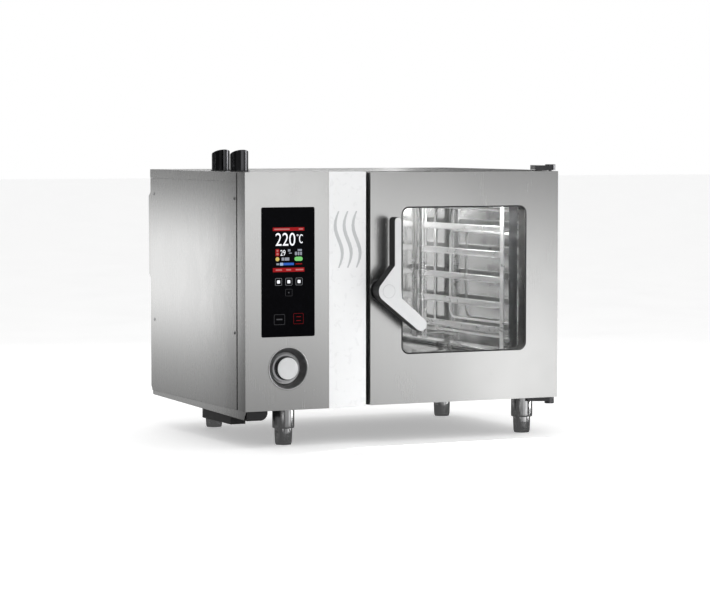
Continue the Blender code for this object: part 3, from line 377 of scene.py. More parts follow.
def fibrous(name):
    """Mineral wool: matted fibres in several directions."""
    look = Look(name, (0.50, 0.44, 0.27), 0.95, 0.0, Sheen_Weight=0.3)
    long_way = look.noise((60.0, 900.0, 700.0), 5.0, 2.5)
    cross_way = look.noise((800.0, 90.0, 600.0), 5.0, 2.5)
    mat = look.maths("MAXIMUM", long_way, cross_way)
    look.tint(mat, 0.6, 1.35, 0.45, 0.75)
    look.rough(look.spread(mat, 0.85, 1.0))
    look.bump(mat, 0.0012, 0.8)
    return look.material


def solder_mask(name):
    """Green circuit board with faint tracks under its lacquer."""
    look = Look(name, (0.012, 0.11, 0.045), 0.35, 0.0, Coat_Weight=0.3)
    tracks = look.noise((700.0, 700.0, 260.0), 1.0)
    look.tint(tracks, 0.7, 1.6, 0.52, 0.54)
    look.rough(look.spread(tracks, 0.30, 0.45, 0.45, 0.6))
    look.bump(tracks, 0.00005, 0.5)
    return look.material


def cast_metal(name, colour=(0.20, 0.21, 0.22), roughness=0.55, metallic=0.8):
    """Sand-cast metal: coarse skin and soft stains."""
    look = Look(name, colour, roughness, metallic)
    coarse = look.noise(320.0, 5.0, 0.4)
    stain = look.noise(20.0, 4.0, 1.2)
    look.tint(stain, 0.7, 1.25)
    look.rough(look.spread(coarse, roughness - 0.1, roughness + 0.12))
    look.bump(coarse, 0.00025, 0.6)
    return look.material


def heated_tube(name):
    """A sheathed heater: dark oxide with straw and blue bands."""
    look = Look(name, (0.17, 0.15, 0.14), 0.42, 0.9)
    bands = look.noise(18.0, 3.0, 1.4)
    look.tint(bands, 0.55, 1.7)
    look.rough(look.spread(bands, 0.32, 0.58))
    look.bump(look.noise(600.0, 3.0), 0.00005, 0.5)
    return look.material


# Shapes. Each builder returns a bmesh in world coordinates.


def block(low, high, radius, segments=2):
    """A box with all of its edges rounded."""
    low, high = Vector(low), Vector(high)
    shape = bmesh.new()
    bmesh.ops.create_cube(shape, size=1.0)
    bmesh.ops.scale(shape, vec=high - low, verts=shape.verts)
    bmesh.ops.translate(shape, vec=(low + high) / 2, verts=shape.verts)
    bmesh.ops.bevel(shape, geom=shape.edges[:], offset=radius, segments=segments,
                    profile=0.5, affect="EDGES")
    return shape


def arc(centre, radius, start, end, steps):
    """Points on an arc, angles in degrees."""
    turns = [math.radians(start + (end - start) * i / steps) for i in range(steps + 1)]
    return [(centre[0] + radius * math.cos(turn), centre[1] + radius * math.sin(turn))
            for turn in turns]


def oval(centre, wide, tall, start, end, steps):
    """Points on part of an oval, angles in degrees."""
    return [(centre[0] + wide * x, centre[1] + tall * z)
            for x, z in arc((0, 0), 1.0, start, end, steps)]


def rounded_rectangle(low, high, radius, steps=6):
    """The corner points of a rounded rectangle in two axes, anticlockwise."""
    points = []
    for x, z, start in ((high[0] - radius, low[1] + radius, -90),
                        (high[0] - radius, high[1] - radius, 0),
                        (low[0] + radius, high[1] - radius, 90),
                        (low[0] + radius, low[1] + radius, 180)):
        points += arc((x, z), radius, start, start + 90, steps)
    return points


def slab(points, front, back, edge=0.0, holes=()):
    """A flat outline in X and Z between two planes in Y, with its rims rounded."""
    shape = bmesh.new()
    rims = []
    for ring in (points, *holes):
        verts = [shape.verts.new((x, back, z)) for x, z in ring]
        rims += [shape.edges.new((verts[i - 1], verts[i])) for i in range(len(verts))]
    bmesh.ops.triangle_fill(shape, use_beauty=True, edges=rims)
    made = bmesh.ops.extrude_face_region(shape, geom=shape.faces[:])
    moved = [item for item in made["geom"] if isinstance(item, bmesh.types.BMVert)]
    bmesh.ops.translate(shape, vec=(0, front - back, 0), verts=moved)
    bmesh.ops.recalc_face_normals(shape, faces=shape.faces)
    if edge:
        bmesh.ops.dissolve_limit(shape, angle_limit=0.01, verts=shape.verts, edges=shape.edges)
        corners = [e for e in shape.edges if e.calc_face_angle(0) > math.radians(60)]
        bmesh.ops.bevel(shape, geom=corners, offset=edge, segments=2, profile=0.5,
                        affect="EDGES")
    return shape


def moved(shape, matrix):
    bmesh.ops.transform(shape, matrix=matrix, verts=shape.verts)
    return shape


def standing(base, axis):
    """The transform that takes the origin to a base and +Z to an axis."""
    return Matrix.Translation(base) @ Vector(axis).to_track_quat("Z", "Y").to_matrix().to_4x4()


def softened(profile, radius, steps=3):
    """A turning profile with each inner corner cut to a short arc."""
    found = [Vector(profile[0])]
    for before, corner, after in zip(profile, profile[1:], profile[2:]):
        corner = Vector(corner)
        into, out = Vector(before) - corner, Vector(after) - corner
        reach = min(radius, into.length * 0.45, out.length * 0.45)
        start, end = corner + into.normalized() * reach, corner + out.normalized() * reach
        for i in range(steps + 1):
            t = i / steps
            found.append(start * (1 - t) ** 2 + corner * 2 * t * (1 - t) + end * t ** 2)
    found.append(Vector(profile[-1]))
    return found


def lathe(profile, base, axis=(0, 0, 1), radius=EDGE, steps=72, closed=False):
    """A turned body. The profile holds (radius, height) points from one end to the other."""
    points = softened(list(profile) + ([profile[0]] if closed else []), radius)
    shape = bmesh.new()
    verts = [shape.verts.new((point[0], 0, point[1])) for point in points]
    edges = [shape.edges.new(pair) for pair in zip(verts, verts[1:])]
    bmesh.ops.spin(shape, geom=verts + edges, axis=(0, 0, 1), cent=(0, 0, 0), steps=steps,
                   angle=2 * math.pi, use_merge=False, use_duplicate=False)
    bmesh.ops.remove_doubles(shape, verts=shape.verts, dist=1e-6)
    bmesh.ops.recalc_face_normals(shape, faces=shape.faces)
    return moved(shape, standing(base, axis))


def tube(points, radius, closed=False, resolution=5):
    """A round wire or tube through points."""
    curve = bpy.data.curves.new("route", "CURVE")
    curve.dimensions = "3D"
    curve.bevel_depth = radius
    curve.bevel_resolution = resolution
    curve.use_fill_caps = not closed
    spline = curve.splines.new("POLY")
    spline.points.add(len(points) - 1)
    for point, at in zip(spline.points, points):
        point.co = (*at, 1)
    spline.use_cyclic_u = closed
    return from_curve(curve)


def from_curve(curve):
    """A curve's or a text's surface as a closed bmesh."""
    guide = placed("guide", curve)
    bpy.context.view_layer.update()
    graph = bpy.context.evaluated_depsgraph_get()
    mesh = bpy.data.meshes.new_from_object(guide.evaluated_get(graph))
    shape = bmesh.new()
    shape.from_mesh(mesh)
    bmesh.ops.remove_doubles(shape, verts=shape.verts, dist=1e-6)
    bmesh.ops.recalc_face_normals(shape, faces=shape.faces)
    bpy.data.objects.remove(guide)
    bpy.data.meshes.remove(mesh)
    return shape


def figures(text, height, left, base, front):
    """Generic figures, standing in X and Z, a hair in front of a plane in Y."""
    curve = bpy.data.curves.new("figures", "FONT")
    curve.body = text
    curve.size = height / 0.72
    curve.extrude = SKIN / 2
    upright_text = Matrix.Rotation(math.pi / 2, 4, "X")
    return moved(from_curve(curve), Matrix.Translation((left, front, base)) @ upright_text)


def together(shapes):
    """Several shapes as one."""
    whole = bmesh.new()
    for shape in shapes:
        held = bpy.data.meshes.new("held")
        shape.to_mesh(held)
        shape.free()
        whole.from_mesh(held)
        bpy.data.meshes.remove(held)
    return whole


def placed(name, data):
    """A new object in the scene."""
    made = bpy.data.objects.new(name, data)
    bpy.context.scene.collection.objects.link(made)
    return made


def piece(name, shape, look, body, stands_for=()):
    """An object from a shape, smooth but for its sharp edges, that rides on a body."""
    mesh = bpy.data.meshes.new(name)
    shape.to_mesh(mesh)
    shape.free()
    mesh.materials.append(look)
    mesh.shade_smooth()
    mesh.set_sharp_from_angle(angle=SMOOTH_ANGLE)
    made = placed(name, mesh)
    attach(made, body)
    if stands_for:
        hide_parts(*stands_for)
    return made


def rounded(made, width, segments):
    """Rounds an object's edges as it is drawn."""
    bevel = made.modifiers.new("Edges", "BEVEL")
    bevel.width = width
    bevel.segments = segments
    bevel.limit_method = "ANGLE"
    bevel.angle_limit = SMOOTH_ANGLE
    return bevel


def dress(node, look, width=EDGE, segments=2):
    """Gives a CAD node its material and rounds its edges as it is drawn."""
    made = NODES[node]
    made.data.materials.clear()
    made.data.materials.append(look)
    if "custom_normal" in made.data.attributes:
        made.data.attributes.remove(made.data.attributes["custom_normal"])
    made.data.shade_smooth()
    made.data.set_sharp_from_angle(angle=SMOOTH_ANGLE)
    if not width:
        return
    weld = made.modifiers.new("Weld", "WELD")
    weld.merge_threshold = 1e-6
    flat = made.modifiers.new("Flat", "DECIMATE")
    flat.decimate_type = "DISSOLVE"
    flat.angle_limit = math.radians(0.5)
    rounded(made, width, segments).harden_normals = True


def span(node):
    """A node's lowest corner, highest corner and middle."""
    low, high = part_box(node)
    return low, high, (low + high) / 2


# Stage, light and camera.


def card(name, corners, strength, ramp=None):
    """A lit card that is seen only in reflections. ramp maps its height to brightness."""
    mesh = bpy.data.meshes.new(name)
    mesh.from_pydata(corners, [], [(0, 1, 2, 3)])
    made = placed(name, mesh)
    material = bpy.data.materials.new(name)
    material.use_nodes = True
    tree = material.node_tree
    tree.nodes.clear()
    lit = tree.nodes.new("ShaderNodeEmission")
    lit.inputs["Strength"].default_value = strength
    out = tree.nodes.new("ShaderNodeOutputMaterial")
    tree.links.new(lit.outputs[0], out.inputs["Surface"])
    if ramp:
        coords = tree.nodes.new("ShaderNodeTexCoord")
        split = tree.nodes.new("ShaderNodeSeparateXYZ")
        scale = tree.nodes.new("ShaderNodeMapRange")
        levels = tree.nodes.new("ShaderNodeValToRGB")
        heights = [height for height, _ in ramp]
        scale.inputs["From Min"].default_value = heights[0]
        scale.inputs["From Max"].default_value = heights[-1]
        tree.links.new(coords.outputs["Object"], split.inputs[0])
        tree.links.new(split.outputs["Z"], scale.inputs["Value"])
        tree.links.new(scale.outputs["Result"], levels.inputs["Fac"])
        tree.links.new(levels.outputs["Color"], lit.inputs["Color"])
        stops = levels.color_ramp.elements
        while len(stops) < len(ramp):
            stops.new(0.5)
        for stop, (height, level) in zip(stops, ramp):
            stop.position = (height - heights[0]) / (heights[-1] - heights[0])
            stop.color = (level, level, level, 1)
    mesh.materials.append(material)
    made.visible_camera = False
    made.visible_diffuse = False
    made.visible_shadow = False
    made.visible_transmission = False


def upright(x0, y0, x1, y1, low, high):
    """The corners of an upright rectangle."""
    return [(x0, y0, low), (x1, y1, low), (x1, y1, high), (x0, y0, high)]


def set_stage():
    """A pale floor, and cards round the oven for its steel to reflect."""
    shape = bmesh.new()
    bmesh.ops.create_grid(shape, x_segments=8, y_segments=8, size=FLOOR_SIZE)
    mesh = bpy.data.meshes.new("floor")
    shape.to_mesh(mesh)
    shape.free()
    floor = placed("floor", mesh)
    look = Look("floor_paint", (0.88, 0.88, 0.88), 0.7, Emission_Color=(1, 1, 1, 1),
                Emission_Strength=FLOOR_GLOW)
    look.rough(look.spread(look.noise(3.0, 3.0), 0.65, 0.8))
    mesh.materials.append(look.material)
    floor.visible_glossy = False
    for name, corners, strength, ramp in CARDS:
        card(name, upright(*corners), strength, ramp)


def set_world():
    """A white backdrop for the camera, soft light, and a darker room in reflections."""
    world = bpy.data.worlds.new("studio")
    bpy.context.scene.world = world
    world.use_nodes = True
    tree = world.node_tree
    tree.nodes.clear()
    out = tree.nodes.new("ShaderNodeOutputWorld")
    rays = tree.nodes.new("ShaderNodeLightPath")
    found = None
    for ray, level in ((None, WORLD_SOFT), ("Is Glossy Ray", WORLD_REFLECTED),
                       ("Is Camera Ray", WORLD_SEEN)):
        shade = tree.nodes.new("ShaderNodeBackground")
        shade.inputs["Color"].default_value = (1, 1, 1, 1)
        shade.inputs["Strength"].default_value = level
        if ray:
            mixed = tree.nodes.new("ShaderNodeMixShader")
            tree.links.new(rays.outputs[ray], mixed.inputs[0])
            tree.links.new(found.outputs[0], mixed.inputs[1])
            tree.links.new(shade.outputs[0], mixed.inputs[2])
            shade = mixed
        found = shade
    tree.links.new(found.outputs[0], out.inputs["Surface"])


def softbox(name, place, target, width, height, power):
    """A rectangular lamp that aims at a target."""
    light = bpy.data.lights.new(name, "AREA")
    light.shape = "RECTANGLE"
    light.size = width
    light.size_y = height
    light.energy = power
    made = placed(name, light)
    made.location = place
    made.rotation_euler = (Vector(target) - Vector(place)).to_track_quat("-Z", "Y").to_euler()
    return made


def set_lights():
    """Soft light round the oven, and the light in its chamber."""
    for name, place, width, height, power in SOFTBOXES:
        softbox(name, place, OVEN_MIDDLE, width, height, power)
    low, _, lens = span("lamp_lens")
    lamp = bpy.data.lights.new("chamber_lamp", "AREA")
    lamp.shape = "DISK"
    lamp.size = LAMP_SIZE
    lamp.energy = LAMP_POWER
    placed("chamber_lamp", lamp).location = (lens.x, lens.y, low.z - 0.004)
    mouth = span("door_gasket")[2]
    target = (mouth.x + 0.25, 0.30, mouth.z - 0.02)
    for name, rise, height, power in CHAMBER_PANELS:
        place = (mouth.x - 0.05, mouth.y + 0.03, mouth.z + rise)
        panel = softbox(name, place, target, PANEL_WIDTH, height, power)
        panel.visible_camera = False


def set_camera():
    """A long lens from the front left, a little above the oven."""
    data = bpy.data.cameras.new("camera")
    data.lens = CAMERA_LENS
    data.sensor_width = 36
    data.clip_end = 200
    made = placed("camera", data)
    made.location = CAMERA_PLACE
    made.rotation_euler = (math.radians(CAMERA_TILT), 0, math.radians(CAMERA_PAN))
    bpy.context.scene.camera = made
    bpy.context.scene.view_settings.view_transform = "Standard"


# Casing.


def dress_casing():
    """The sheet steel, the white strip, the black mouldings and the touch glass."""
    panel = brushed("panel_steel")
    black = moulded("black_moulding", (0.013, 0.013, 0.014), 0.48)
    for node in ("left_side_panel", "right_side_panel", "left_skirt"):
        dress(node, panel)
    dress("roof_panel", brushed("roof_steel", along=0))
    dress("control_fascia", brushed("fascia_steel", roughness=0.25), 0.0008)
    dress("front_frame", brushed("frame_steel", roughness=0.30))
    for node in ("rear_panel", "rear_cover"):
        dress(node, brushed(node + "_steel", along=0, roughness=0.32))
    dress("base_frame", brushed("plain_sheet", 1, (0.55, 0.55, 0.55), 0.38))
    dress("trim_strip", lacquered("white_lacquer", (0.83, 0.835, 0.84)), 0.0008)
    for node in ("gap_channel", "underside_box", "air_duct"):
        dress(node, black)
    dress("control_glass", black_glass("touch_glass"), 0.0005)


# Fasteners.


def screw_head(place, axis, radius=0.0042, rise=0.0020):
    """A low domed head with a round socket."""
    socket = radius * 0.45
    profile = [(0, rise * 0.35), (socket, rise * 0.35), (socket, rise),
               (radius * 0.7, rise * 0.9), (radius, rise * 0.25), (radius, 0), (0, 0)]
    shape = lathe(profile, (0, 0, 0), radius=0.0003, steps=30)
    return moved(shape, standing(place, axis))


def add_screws():
    """Screws along the panels' edges."""
    steel = tube_steel("screw_steel", (0.52, 0.52, 0.53), 0.22)
    rows = []
    for side, axis, end in (("left", (-1, 0, 0), 0), ("right", (1, 0, 0), 1)):
        box = span(side + "_side_panel")
        low, high, _ = box
        rows.append((side + "_panel_screws", axis,
                     [(box[end].x, y, z) for y in (low.y + 0.014, high.y - 0.030)
                      for z in (low.z + 0.203, high.z - 0.045)]))
    low, high, _ = span("rear_panel")
    gap = (high.x - low.x - 0.03) / 6
    rows.append(("rear_panel_screws", REAR,
                 [(low.x + 0.015 + gap * i, high.y, z) for i in range(7)
                  for z in (low.z + 0.010, high.z - 0.010)]))
    low, high, _ = span("rear_cover")
    rows.append(("rear_cover_screws", REAR,
                 [(x, high.y, z) for x in (low.x + 0.02, high.x - 0.02)
                  for z in (low.z + 0.035, high.z - 0.035)]))
    high = span("roof_panel")[1]
    rows.append(("roof_screws", REAR,
                 [(x, high.y, high.z - 0.012) for x in (-0.40, -0.20, 0.0, 0.20, 0.40)]))
    for name, axis, places in rows:
        heads = [screw_head(place, axis) for place in places]
        piece(name, together(heads), steel, "cabinet")


# Controls.


def on_glass(u, v):
    """A place on the touch glass, in millimetres right and down from its top left corner."""
    low, high, _ = span("control_glass")
    return low.x + u / 1000, high.z - v / 1000


def mark(u0, v0, u1, v1, radius=0.0006, hole=0.0):
    """A flat mark on the touch glass, or its outline when hole gives a line width."""
    front = span("control_glass")[0].y
    left, top = on_glass(u0, v0)
    right, bottom = on_glass(u1, v1)
    ring = rounded_rectangle((left, bottom), (right, top), radius, 4)
    inner = ()
    if hole:
        inner = (rounded_rectangle((left + hole, bottom + hole), (right - hole, top - hole),
                                   max(radius - hole, 0.0002), 4),)
    return slab(ring, front - SKIN, front - HAIR, holes=inner)


def add_display():
    """Generic figures, signs and bars on the screen, and the touch keys under it."""
    front = span("control_glass")[0].y - SKIN / 2
    shapes = []
    for text, height, place, squeeze in FIGURES:
        left, base = on_glass(*place)
        shape = figures(text, height, left, base, front)
        for vert in shape.verts:
            vert.co.x = left + (vert.co.x - left) * squeeze
        shapes.append(shape)
    middle, degree = on_glass(*LETTER), on_glass(*DEGREE)
    outside = oval(middle, 0.0066, 0.0118, 48, 312, 20)
    inside = oval(middle, 0.0040, 0.0090, 312, 48, 20)
    shapes.append(slab(outside + inside, front - SKIN / 2, front))
    shapes.append(slab(arc(degree, 0.0026, 0, 345, 20), front - SKIN / 2, front,
                       holes=(arc(degree, 0.0014, 0, 345, 20),)))
    shapes += [mark(u - 4.2, 191, u + 4.2, 199.4, 0.0016) for u in KEY_COLUMNS]
    piece("display_figures", together(shapes), glowing("lit_white", (0.95, 0.96, 1.0), 1.0),
          "cabinet")
    for name, light, rows in DISPLAY:
        lift = Matrix.Translation((0, -SKIN if name == "display_lines" else 0.0, 0))
        shapes = [moved(mark(*row), lift) for row in rows]
        piece(name, together(shapes), glowing(*light), "cabinet")


def add_bowl(centre, lip, depth):
    """The satin bowl round the knob, and its bright rim."""
    floor = lip - BOWL_SLOPE
    profile = [(lip, SKIN), (lip - 0.0012, 0.0010), (lip - 0.0034, 0.0006),
               (lip - 0.0044, -0.0020), (floor + 0.001, 0.0022 - depth),
               (floor - 0.0035, 0.0014 - depth), (BOWL_HOLE, 0.0014 - depth),
               (BOWL_HOLE, -depth), (floor, -depth), (lip - 0.0022, -0.0020),
               (lip - 0.0022, SKIN)]
    bowl = Look("bowl_steel", (0.52, 0.52, 0.525), 0.38, 1.0)
    swirl = bowl.noise(60.0, 4.0, 1.0)
    bowl.tint(swirl, 0.85, 1.15)
    bowl.rough(bowl.spread(swirl, 0.34, 0.42))
    piece("knob_dish", lathe(profile, centre, FRONT, steps=FINE, closed=True), bowl.material,
          "cabinet", ("knob_bowl",))
    rim = [(lip - 0.0012, 0.0012), (lip - 0.0002, 0.0012), (lip + 0.0004, SKIN),
           (lip - 0.0012, SKIN)]
    piece("knob_dish_rim", lathe(rim, centre, FRONT, 0.0002, FINE, True),
          polished("rim_steel", (0.74, 0.74, 0.74), 0.18), "cabinet")


def add_knob():
    """The knob's light cap, dark barrel, foot and ribs, in its bowl."""
    low, high, middle = span("knob_bowl")
    centre = Vector((middle.x, span("control_fascia")[0].y, middle.z))
    depth = high.y - centre.y
    add_bowl(centre, (high.x - low.x) / 2, depth)
    cap = [(0, -0.0006), (0.0220, -0.0002), (0.0278, 0.0002), (KNOB_CAP, -0.0012),
           (KNOB_CAP, -0.0030), (0.0250, -0.0036), (0, -0.0036)]
    piece("knob_cap", lathe(cap, centre, FRONT, 0.0008, FINE),
          moulded("knob_satin", (0.60, 0.605, 0.61), 0.36), "knob", ("knob",))
    barrel = [(0, -0.0040), (0.0288, -0.0040), (0.0300, -0.0056),
              (KNOB_BARREL, 0.0078 - depth), (KNOB_BARREL, 0.0064 - depth), (0.0, 0.0064 - depth)]
    piece("knob_barrel", lathe(barrel, centre, FRONT, 0.0006, FINE),
          moulded("knob_black", (0.010, 0.010, 0.011), 0.22), "knob")
    foot = [(0, 0.0062 - depth), (KNOB_FOOT - 0.0018, 0.0062 - depth),
            (KNOB_FOOT, 0.0056 - depth), (KNOB_FOOT, 0.0042 - depth), (0.0, 0.0042 - depth)]
    piece("knob_foot", lathe(foot, centre, FRONT, 0.0005, FINE),
          moulded("knob_foot_satin", (0.46, 0.46, 0.47), 0.30), "knob")
    ribs = []
    place = standing(centre, FRONT) @ Matrix.Translation((0, 0, 0.0085 - depth))
    for i in range(KNOB_RIBS):
        rib = block((0.0300, -0.0004, 0), (0.0316, 0.0004, 0.0105), 0.0002, 1)
        turn = Matrix.Rotation(2 * math.pi * i / KNOB_RIBS, 4, "Z")
        ribs.append(moved(rib, place @ turn))
    piece("knob_ribs", together(ribs), moulded("rib_black", (0.02, 0.02, 0.021), 0.3),
          "knob")


def add_seam():
    """A dark bead in the joint between the left panel and the control panel."""
    low, high, _ = span("left_side_panel")
    fascia_back = span("control_fascia")[1].y
    bead = block((low.x - 0.0004, fascia_back - 0.0014, low.z + 0.001),
                 (low.x - HAIR, low.y + 0.0014, high.z + 0.022), 0.0001)
    piece("panel_seam", bead, rubber("seam_rubber", (0.006, 0.006, 0.0062)), "cabinet")


def add_steam_mark():
    """A plain mark of three steam waves on the white strip."""
    low, _, middle = span("trim_strip")
    waves = []
    for offset in WAVE_OFFSETS:
        left, right = [], []
        for i in range(WAVE_STEPS + 1):
            t = i / WAVE_STEPS
            x = middle.x + offset + WAVE_SWAY * math.sin(2 * math.pi * t)
            z = WAVE_LOW + WAVE_HEIGHT * t
            half = WAVE_WIDTH * math.sin(math.pi * (0.12 + 0.76 * t))
            left.append((x - half, z))
            right.append((x + half, z))
        waves.append(slab(right + left[::-1], low.y - SKIN, low.y - HAIR))
    piece("steam_mark", together(waves), lacquered("mark_grey", (0.50, 0.51, 0.52), 0.35),
          "cabinet")


# Door and handle.


def dress_door():
    """The door's skins and panes, its hinges and its latch."""
    dress("door_skin", brushed("door_steel", roughness=0.25), 0.0008)
    dress("door_inner_frame", polished("door_frame_steel", (0.66, 0.66, 0.66), 0.10))
    dress("outer_glass", clear_glass("outer_pane", 0.06), 0.0004)
    dress("inner_glass", clear_glass("inner_pane", 0.05), 0.0004)
    # The near-black base colour of this steel is painted reflection: it stands in for dark
    # surroundings mirrored in the polished hinges, pins and latch.
    dark = tube_steel("bracket_steel_painted_reflection", (0.12, 0.12, 0.125), 0.14)
    for end in ("top", "bottom"):
        dress(end + "_hinge_bracket", dark, 0.0010, 3)
        dress(end + "_hinge_pin", dark)
    dress("latch_spindle", dark, 0.0005)
    dress("latch_keeper", dark, 0.0008)
    dress("door_gasket", rubber("gasket_rubber"), 0.003, 3)


def outline(node, inset, radius, steps):
    """A node's outline in X and Z, moved inward, with round corners."""
    low, high, _ = span(node)
    return rounded_rectangle((low.x + inset, low.z + inset), (high.x - inset, high.z - inset),
                             radius, steps)


def add_window_trim():
    """The seal at the outer pane's edge, and the printed border on the inner pane."""
    face = span("door_skin")[0].y
    outer = outline("outer_glass", SEAL_INSET, SEAL_CORNER, 10)
    inner = outline("outer_glass", SEAL_INSET + SEAL_WIDTH, SEAL_CORNER - SEAL_WIDTH, 10)
    piece("window_seal", slab(outer, face + 0.0003, face + 0.0016, 0.0002, (inner,)),
          rubber("seal_rubber", (0.008, 0.008, 0.009)), "door")
    back = span("inner_glass")[1].y
    outer = outline("inner_glass", 0.001, 0.011, 8)
    inner = outline("inner_glass", 0.007, 0.008, 8)
    border = slab(outer, back + 0.00005, back + 0.00025, 0.0, (inner,))
    piece("inner_pane_border", border, lacquered("border_enamel", (0.035, 0.036, 0.038), 0.2),
          "door")


def add_door_hardware():
    """Clips that hold the inner pane, with their screws."""
    low, high, _ = span("inner_glass")
    back = high.y + 0.0003
    thick = 0.0010
    clips, heads = [], []
    for x, inward in ((low.x, 1), (high.x, -1)):
        for z in (low.z + 0.045, high.z - 0.045):
            ends = sorted((x - inward * 0.010, x + inward * 0.008))
            clips.append(block((ends[0], back, z - 0.010), (ends[1], back + thick, z + 0.010),
                               0.0004))
            heads.append(screw_head((x - inward * 0.005, back + thick, z), REAR, 0.0034, 0.0012))
    piece("pane_clips", together(clips), polished("clip_steel", roughness=0.16), "door")
    piece("pane_clip_screws", together(heads), tube_steel("clip_screw_steel"), "door")


def dress_handle():
    """The handle's body and face, the cap over its pivot, and the seat on the door."""
    black = moulded("handle_black", (0.006, 0.006, 0.0065), 0.36, 0.22)
    dress("handle_body", black, 0.0022, 4)
    light = moulded("handle_light", (0.66, 0.665, 0.67), 0.36)
    dress("handle_face", light, 0.0009, 3)
    spindle = span("latch_spindle")[2]
    pivot = (spindle.x, span("handle_face")[0].y, spindle.z)
    cap = [(0, 0.0005), (PIVOT_CAP - 0.0022, 0.0006), (PIVOT_CAP - 0.0004, 0.0004),
           (PIVOT_CAP, 0.0), (0.0, 0.0)]
    piece("pivot_cap", lathe(cap, pivot, FRONT, 0.0003), light, "handle")
    # The thin grey ring round the cap is painted shade: its grey stands in for the shadow of a
    # groove that the geometry doesn't cut.
    inner, outer = PIVOT_CAP + 0.0001, PIVOT_CAP + 0.0009
    groove = [(inner, 0.00005), (outer, 0.00005), (outer, 0.0002), (inner, 0.0002)]
    piece("pivot_groove_shade", lathe(groove, pivot, FRONT, 0.00005, closed=True),
          moulded("groove_painted_shade", (0.40, 0.40, 0.41), 0.5), "handle")
    root = (spindle.x, span("door_skin")[0].y, spindle.z)
    seat = [(SEAT_HOLE, 0.0008), (SEAT_HOLE + 0.0030, 0.0008), (SEAT_HOLE + 0.0040, 0.0001),
            (SEAT_HOLE, 0.0001)]
    piece("handle_seat", lathe(seat, root, FRONT, 0.0003, closed=True),
          tube_steel("seat_steel"), "door")


# Chamber.


def dress_chamber():
    """The liner, the racks, the fan and what else stands in the chamber."""
    dress("cavity_liner", polished("chamber_steel", (0.74, 0.74, 0.735), 0.07, 0.0004))
    dress("fan_baffle", polished("baffle_steel", roughness=0.16))
    rack = polished("rack_steel", (0.84, 0.84, 0.84), 0.28, 0.0001)
    for node in ("left_rack", "right_rack"):
        dress(node, rack, 0.0005)
    dress("fan_wheel", polished("wheel_steel", (0.58, 0.58, 0.58), 0.22), 0.0005)
    dress("motor_shaft", tube_steel("shaft_steel"))
    dress("lamp_lens", clear_glass("lens_glass", 0.45, (0.95, 0.95, 0.90)), 0.0004)
    dress("heating_element", heated_tube("heater_sheath"), 0.0)
    dress("drain_pipe", tube_steel("drain_steel", (0.5, 0.5, 0.5), 0.18), 0.0004)
    dress("insulation", fibrous("mineral_wool"), 0.002)


def rack_loop(x, rear, top, low, front):
    """A bent wire loop behind the shelf rails, open at the front."""
    bend = WIRE_BEND
    corners = arc((rear - bend, top - bend), bend, 90, 0, 6)
    corners += arc((rear - bend, low + bend), bend, 0, -90, 6)
    return tube([(x, front, top)] + [(x, y, z) for y, z in corners] + [(x, front, low)], WIRE)


def add_rack_detail():
    """Two bent wire loops and a flat front post on each rack."""
    steel = polished("wire_steel", (0.94, 0.94, 0.94), 0.30, 0.00002)
    # The post steel's very dark base colour is painted shade on a steel part.
    dark = brushed("post_steel_painted_shade", colour=(0.16, 0.16, 0.165), roughness=0.34)
    for side in ("left", "right"):
        low, high, _ = span(side + "_rack")
        plane = high.x - 0.026
        front = low.y + 0.012
        loops = [rack_loop(plane, high.y - 0.030, high.z - 0.045, low.z + 0.030, front),
                 rack_loop(plane, high.y - 0.128, high.z - 0.110, low.z + 0.070, front)]
        piece(side + "_rack_loops", together(loops), steel, "cabinet")
        post = block((plane - POST_HALF, low.y - 0.0018, low.z + 0.004),
                     (plane + POST_HALF, low.y - 0.0003, high.z - 0.004), 0.0004)
        piece(side + "_rack_post", post, dark, "cabinet")


def add_lamp_ring(steel):
    low, high, lens = span("lamp_lens")
    radius = (high.x - low.x) / 2
    ring = [(radius + 0.0004, -0.0002), (radius + 0.0075, -0.0002), (radius + 0.0070, -0.0028),
            (radius + 0.0012, -0.0036)]
    piece("lamp_ring", lathe(ring, (lens.x, lens.y, high.z), closed=True), steel, "cabinet")


def add_drain_sieve(steel):
    """A dished ring with four bars over the drain."""
    drain = span("drain_pipe")[2]
    floor = span("cavity_liner")[0].z + 0.0016
    ring = [(SIEVE_HOLE, 0.0002), (0.0240, 0.0002), (0.0225, 0.0022), (SIEVE_HOLE, 0.0026)]
    shapes = [lathe(ring, (drain.x, drain.y, floor), closed=True)]
    for offset, reach in SIEVE_BARS:
        ends = [(drain.x + side * reach, drain.y + offset, floor + 0.0016) for side in (-1, 1)]
        shapes.append(tube(ends, 0.0009))
    piece("drain_sieve", together(shapes), steel, "cabinet")


def add_fan_guard(steel):
    """Round wires on four spokes in front of the fan."""
    face = span("fan_baffle")[1].x
    fan = span("fan_wheel")[2]
    place = standing((face + 0.0042, fan.y, fan.z), (1, 0, 0))
    wires = []
    for radius in GUARD_RINGS:
        points = [place @ Vector((x, y, 0)) for x, y in arc((0, 0), radius, 0, 351, 39)]
        wires.append(tube(points, 0.0014, True, 3))
    for angle in (math.radians(turn) for turn in (45, 135, 225, 315)):
        ends = [(face + 0.0018, fan.y + reach * math.cos(angle), fan.z + reach * math.sin(angle))
                for reach in GUARD_SPOKE]
        wires.append(tube(ends, 0.0016, resolution=3))
    piece("fan_guard", together(wires), steel, "cabinet")


def add_chamber_detail():
    """The lamp's ring, the drain's sieve and the fan's guard."""
    steel = polished("ring_steel", (0.72, 0.72, 0.72), 0.14, 0.00003)
    add_lamp_ring(steel)
    add_drain_sieve(steel)
    add_fan_guard(steel)


# Feet, vents and services.


def sleeve_profile(radius, low, top):
    """A foot's sleeve from its closed top to its rolled lip."""
    return [(0, top), (radius, top), (radius, low + 0.0035), (radius - 0.0008, low + 0.0008),
            (radius - 0.0030, low), (FOOT_BORE, low), (FOOT_BORE, top - 0.003), (0, top - 0.003)]


